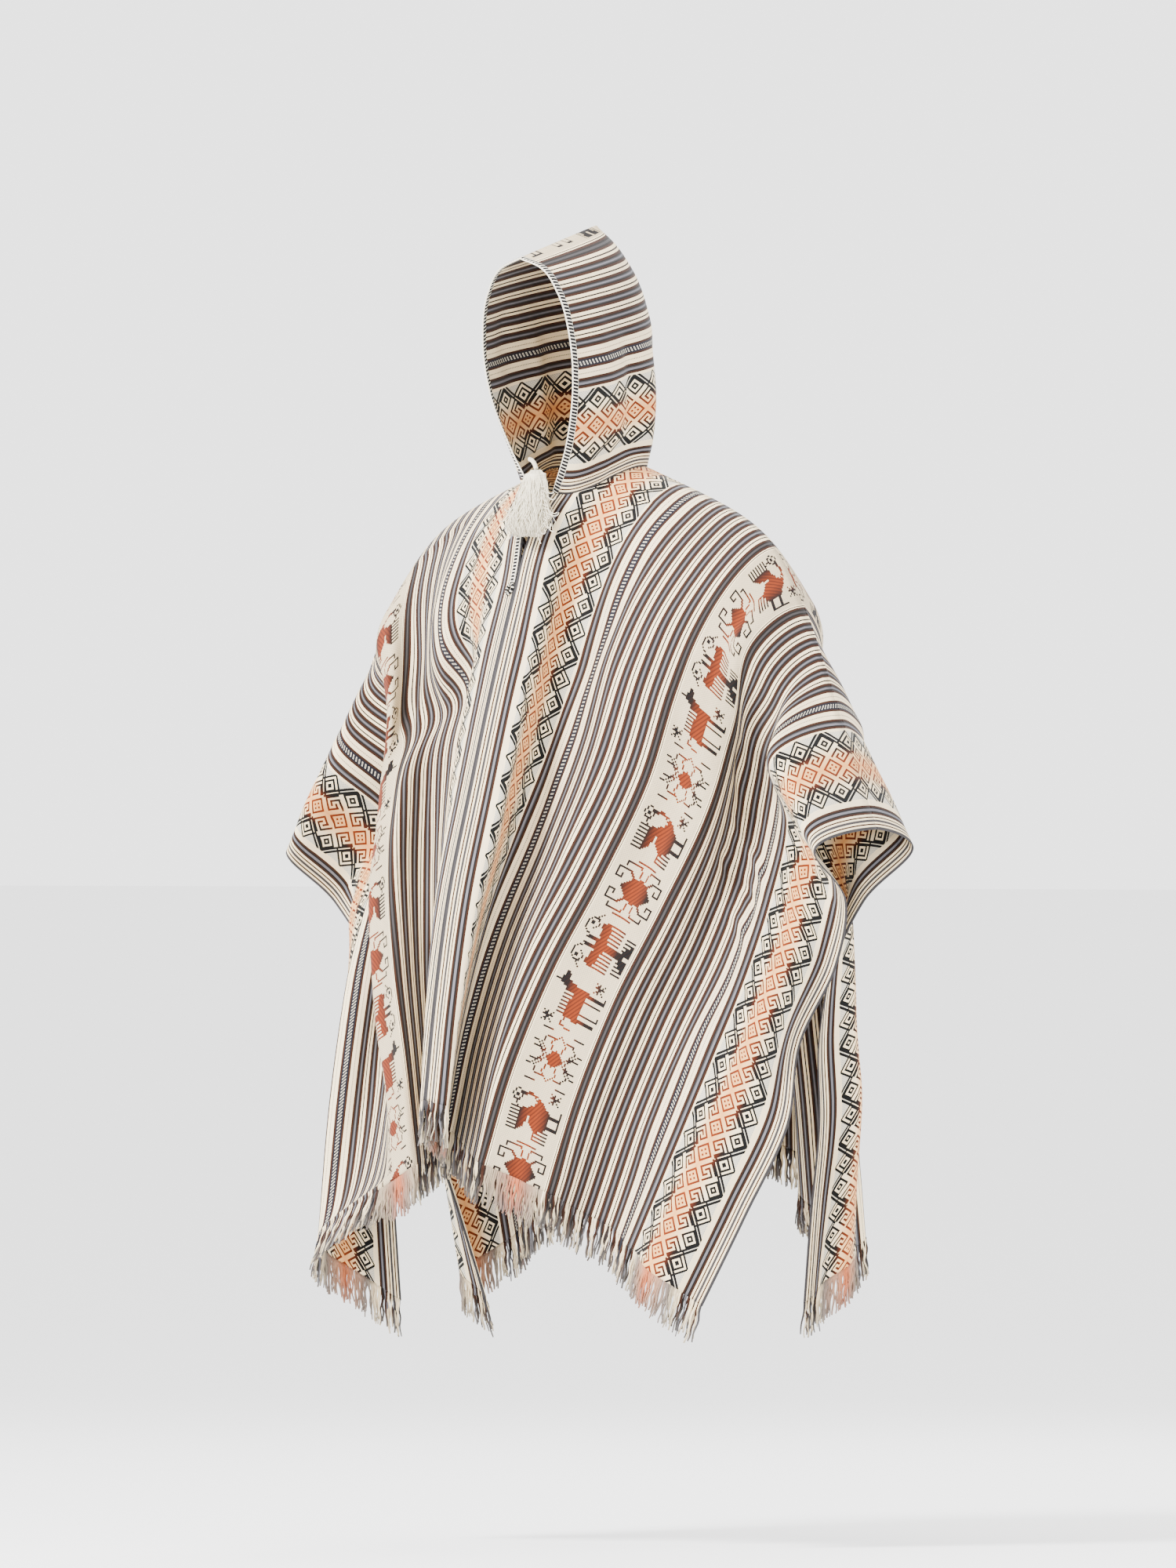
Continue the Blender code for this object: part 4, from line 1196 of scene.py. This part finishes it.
def neck_line(grids, side):
    """The neck hole's edge on one side, from the slit round to the back seam."""
    front = grids["front_" + side][NECK_ROWS::-1, 0]
    back = grids["back_" + side][1 : NECK_ROWS + 1, 0]
    return np.concatenate([front, back])


def build_hood(side, sign, grids, material):
    shares = np.linspace(0, 1, HOOD_COLUMNS + 1)
    neck = neck_line(grids, side) * [sign, 1, 1]
    grid = hood_points(neck, HOOD_ROWS, shares, BRAID_WIDTH * 0.8) * [sign, 1, 1]
    normal = grid_normals(grid, sign)
    levels = np.linspace(0, 1, HOOD_ROWS + 1)[:, None] + 0 * shares
    around = shares + 0 * levels
    at_edges = smooth_step(around / 0.10) * smooth_step((1 - around) / 0.10) * smooth_step(levels / 0.06)
    lift = crease_depth(HOOD_CREASES, around, levels) * at_edges * smooth_step((1 - levels) / 0.1)
    grid = grid + normal * lift[..., None]
    grid[:, -1, 0] = sign * SEAM_GAP
    grid[-1, :, 0] = sign * SEAM_GAP
    places = np.stack([LOOM_WIDTH - levels * HOOD_HEIGHT, around * HOOD_DEPTH], axis=-1)
    return new_shell("hood_%s_cloth" % side, grid, places, material, CLOTH_THICKNESS)


def build_band(name, left, right, normal, material):
    """A rounded band between two edge lines."""
    share = np.linspace(0, 1, 7)
    bulge = BRAID_THICKNESS / 2 * np.sqrt(1 - 0.9 * (2 * share - 1) ** 2)
    surface = left[:, None] + (right - left)[:, None] * share[None, :, None]
    lift = normal[:, None] * bulge[None, :, None]
    rings = np.concatenate([surface + lift, (surface - lift)[:, ::-1]], axis=1)
    rows, sides = rings.shape[:2]
    run = np.concatenate([[0], np.cumsum(np.linalg.norm(np.diff(left, axis=0), axis=1))])
    across = np.concatenate([share, share[::-1]]) * BRAID_WIDTH
    places = np.stack([np.repeat(across[None], rows, 0), np.repeat(run[:, None], sides, 1)], axis=-1)
    faces = ring_faces(1, rows, sides)
    return new_mesh(name, rings.reshape(-1, 3), faces, places.reshape(-1, 2), material)


def build_hood_braid(grids, material):
    outer, inner = [], []
    for side, sign in (("left", 1), ("right", -1)):
        neck = neck_line(grids, side) * [sign, 1, 1]
        a = hood_points(neck, BRAID_ROWS, (0, 0.5, 1), 0)[:, 0] * [sign, 1, 1]
        b = hood_points(neck, BRAID_ROWS, (0, 0.5, 1), BRAID_WIDTH)[:, 0] * [sign, 1, 1]
        outer.append(a if sign == 1 else a[-2::-1])
        inner.append(b if sign == 1 else b[-2::-1])
    outer, inner = np.concatenate(outer), np.concatenate(inner)
    normal = np.cross(np.gradient(outer, axis=0), inner - outer)
    normal /= np.linalg.norm(normal, axis=1)[:, None]
    return build_band("hood_edge_braid", outer, inner, normal, material)


def build_slit_braid(material):
    """The braid sewn down beside the slit, and the small ring at its end."""
    panel = PANELS["front_right"]
    grid, _ = panel_points(panel, np.linspace(*SLIT_BRAID_SPAN, 40), [0.0, BRAID_WIDTH])
    along = np.gradient(grid[:, 0], axis=0)
    normal = np.cross(grid[:, 1] - grid[:, 0], along) * panel["side"] * panel["front"]
    normal /= np.linalg.norm(normal, axis=1)[:, None]
    lifted = grid + normal[:, None] * (CLOTH_THICKNESS / 2 + BRAID_LIFT + BRAID_THICKNESS / 2)
    band = build_band("slit_edge_braid", lifted[:, 0], lifted[:, 1], normal, material)
    down, across = lifted[-1, 0] - lifted[-2, 0], lifted[-1, 1] - lifted[-1, 0]
    down, across = down / np.linalg.norm(down), across / np.linalg.norm(across)
    angle = np.linspace(0, 2 * math.pi, LOOP_POINTS)[:, None]
    centre = lifted[-1].mean(axis=0) + down * LOOP_RADIUS + across * LOOP_RADIUS / 2
    ring = centre + LOOP_RADIUS * (np.sin(angle) * across - np.cos(angle) * down)
    places = np.column_stack([np.full(LOOP_POINTS, BRAID_WIDTH / 2), angle * LOOP_RADIUS])
    radii = np.full((1, LOOP_POINTS), LOOP_CORD)
    return band, tubes("slit_braid_loop", [ring], radii, [places], 8, material)


def build_tassel(random, material):
    """Some hundreds of wavy wool strands, and the wool core inside them."""
    top = np.array(TASSEL_TOP)
    count, points = TASSEL_STRANDS, 12
    t = np.linspace(0, 1, points)
    turn = 2 * math.pi * random.random(count)
    depth = np.sqrt(random.random(count)) * 0.5 + 0.5
    reach = 0.90 + 0.12 * random.random(count)
    down = t[None] * reach[:, None]
    half_width, half_depth = smooth_between(TASSEL, np.clip(down, 0, 1).ravel()).T.reshape(2, count, points)
    twist = turn[:, None] + 0.5 * np.sin(3 * t[None] + 6.3 * random.random((count, 1)))
    waves = 1.5 + 1.5 * random.random((count, 1))
    phase = 6.3 * random.random((count, 1))
    wave = 1 + 0.10 * np.sin(2 * math.pi * waves * t + phase)
    x = half_width * depth[:, None] * np.cos(twist) * wave
    y = half_depth * depth[:, None] * np.sin(twist) * wave
    stray = (random.random((count, 1)) < TASSEL_STRAYS) * random.random((count, 1)) * t**2
    x, y = x * (1 + 0.8 * stray), y * (1 + 0.4 * stray)
    route = top + down[..., None] * TASSEL_AXIS + np.stack([x, y, 0.004 * stray * np.sin(9 * t)], axis=-1)
    radii = np.full((count, points), TASSEL_STRAND_RADIUS) * (1.05 - 0.45 * t)
    places = np.stack([np.repeat(turn[:, None] / 60, points, 1), np.repeat(t[None], count, 0)], axis=-1)
    strands = tubes("tassel_strands", route, radii, places, 4, material)
    rows, sides = 14, 24
    down = np.linspace(0, 0.93, rows)[:, None]
    width, thick = smooth_between(TASSEL, down.ravel()).T[..., None] * CORE_SHARE
    angle = np.linspace(0, 2 * math.pi, sides, endpoint=False)
    ring = np.stack([np.cos(angle) * width, np.sin(angle) * thick, np.zeros((rows, sides))], axis=-1)
    body = top + down[..., None] * TASSEL_AXIS + ring
    spread = np.stack([np.repeat(angle[None] / 60, rows, 0), np.repeat(down, sides, 1)], axis=-1)
    faces = ring_faces(1, rows, sides)
    core = new_mesh("tassel_core", body.reshape(-1, 3), faces, spread.reshape(-1, 2), material)
    return strands, core


def build_wisps(material):
    routes = []
    t = np.linspace(0, 1, 26)
    for across, down, out, turns, length in WISPS:
        half = smooth_between(TASSEL, down)[0][0]
        start = np.array(TASSEL_TOP) + down * TASSEL_AXIS + [across * half, -0.006, 0]
        curl = turns * 2 * math.pi * t
        sign = math.copysign(1, across)
        x = sign * (out * t + 0.004 * np.sin(curl) * t)
        z = -length * 0.6 * t + 0.005 * (1 - np.cos(curl)) * t
        routes.append(start + np.column_stack([x, -0.003 * t, z]))
    radii = np.full((len(routes), len(t)), WISP_RADIUS)
    places = np.stack([np.zeros((len(routes), len(t))), np.repeat(t[None], len(routes), 0)], axis=-1)
    return tubes("tassel_wisps", routes, radii, places, 5, material)


def build_tie(material):
    """A short two-ply cord above the tassel, and the cord wound round the tassel's top."""
    route = np.array(TIE_ROUTE)
    knots = np.arange(len(route)) / (len(route) - 1)
    t = np.linspace(0, 1, TIE_POINTS)
    line = smooth_between(np.column_stack([knots, route]), t)
    along = np.gradient(line, axis=0)
    along /= np.linalg.norm(along, axis=1)[:, None]
    aside = np.cross(along, [0, 1, 0])
    aside /= np.linalg.norm(aside, axis=1)[:, None]
    other = np.cross(along, aside)
    plies = []
    for ply in range(2):
        angle = (t * TIE_TURNS * 2 * math.pi + ply * math.pi)[:, None]
        plies.append(line + PLY_OFFSET * (np.cos(angle) * aside + np.sin(angle) * other))
    winding = np.linspace(0, WINDING_TURNS * 2 * math.pi, TIE_POINTS)
    centre = np.array(TASSEL_TOP) + np.outer(np.linspace(0.06, 0.15, TIE_POINTS), TASSEL_AXIS)
    plies.append(centre + np.column_stack([0.0132 * np.cos(winding), 0.0115 * np.sin(winding), 0 * winding]))
    radii = np.full((3, TIE_POINTS), TIE_RADIUS)
    places = np.stack([np.zeros((3, TIE_POINTS)), np.repeat(t[None], 3, 0)], axis=-1)
    return tubes("tassel_cord", plies, radii, places, 8, material)


def add_light(name, place, size, power):
    light = bpy.data.lights.new(name, "AREA")
    light.shape, light.size, light.energy = "DISK", size, power
    lamp = bpy.data.objects.new(name, light)
    bpy.context.scene.collection.objects.link(lamp)
    lamp.location = place
    aim = VIEW_TARGET - np.array(place)
    lamp.rotation_euler = look_angles(aim)


def look_angles(aim):
    """Euler angles that turn an object's -Z towards `aim`, with +Z up."""
    x, y, z = aim / np.linalg.norm(aim)
    return (math.acos(-z), 0, math.atan2(-x, y))


def build_studio():
    floor_material = bpy.data.materials.new("pale_floor")
    floor_material.use_nodes = True
    shader = floor_material.node_tree.nodes["Principled BSDF"]
    shader.inputs["Base Color"].default_value = (0.86, 0.86, 0.86, 1)
    shader.inputs["Roughness"].default_value = 0.9
    square = ((-1, -1), (1, -1), (1, 1), (-1, 1))
    corners = [(x * FLOOR_REACH, y * FLOOR_REACH, FLOOR_LEVEL) for x, y in square]
    mesh = bpy.data.meshes.new("floor")
    mesh.from_pydata(corners, [], [(0, 1, 2, 3)])
    mesh.materials.append(floor_material)
    floor = bpy.data.objects.new("floor", mesh)
    bpy.context.scene.collection.objects.link(floor)
    world = bpy.data.worlds.new("studio")
    world.use_nodes = True
    world.node_tree.nodes["Background"].inputs[0].default_value = (1, 1, 1, 1)
    world.node_tree.nodes["Background"].inputs[1].default_value = WORLD_STRENGTH
    bpy.context.scene.world = world
    for light in LIGHTS:
        add_light(*light)
    lens = bpy.data.cameras.new("view")
    lens.sensor_fit = "VERTICAL"
    lens.angle = 2 * math.atan(VIEW_HALF_HEIGHT / VIEW_DISTANCE)
    lens.shift_x = VIEW_SHIFT
    camera = bpy.data.objects.new("view", lens)
    bpy.context.scene.collection.objects.link(camera)
    away = np.array([math.sin(VIEW_AZIMUTH), -math.cos(VIEW_AZIMUTH), 0])
    camera.location = VIEW_TARGET + VIEW_DISTANCE * away
    camera.rotation_euler = look_angles(-away)
    bpy.context.scene.camera = camera


def place(piece, slot, *nodes):
    """The piece rides the garment and stands for these nodes. The slot is not used."""
    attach(piece, "root")
    if nodes:
        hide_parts(*nodes)


def main():
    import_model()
    random = np.random.default_rng(7)
    cloth, fringe_wool = cloth_material(), fringe_material()
    braid, wool = braid_material(), wool_material()
    grids, sheets, fringes = {}, {}, {}
    for name, panel in PANELS.items():
        sheets[name], grids[name], places = build_panel(name, panel, cloth)
        fringes[name] = build_fringe("fringe_%s_strands" % name, grids[name], places, random, fringe_wool)
        place(sheets[name], "cloth", name)
        place(fringes[name], "fringe", "fringe_" + name)
    hoods = {}
    for side, sign in (("left", 1), ("right", -1)):
        hoods[side] = build_hood(side, sign, grids, cloth)
        place(hoods[side], "cloth", "hood_" + side)
    edge_braid = build_hood_braid(grids, braid)
    place(edge_braid, "braid", "hood_braid")
    slit_braid, loop = build_slit_braid(braid)
    place(slit_braid, "braid", "slit_braid")
    place(loop, "braid")
    strands, core = build_tassel(random, wool)
    place(strands, "wool", "tassel")
    place(core, "wool")
    wisps = build_wisps(wool)
    place(wisps, "wool")
    tie = build_tie(wool)
    place(tie, "wool", "tassel_tie")
    for name, panel in PANELS.items():
        area = LOOM_WIDTH * PANEL_LENGTH - math.pi / 4 * NECK_HALF_WIDTH * neck_depth(panel["front"])
    build_studio()


main()
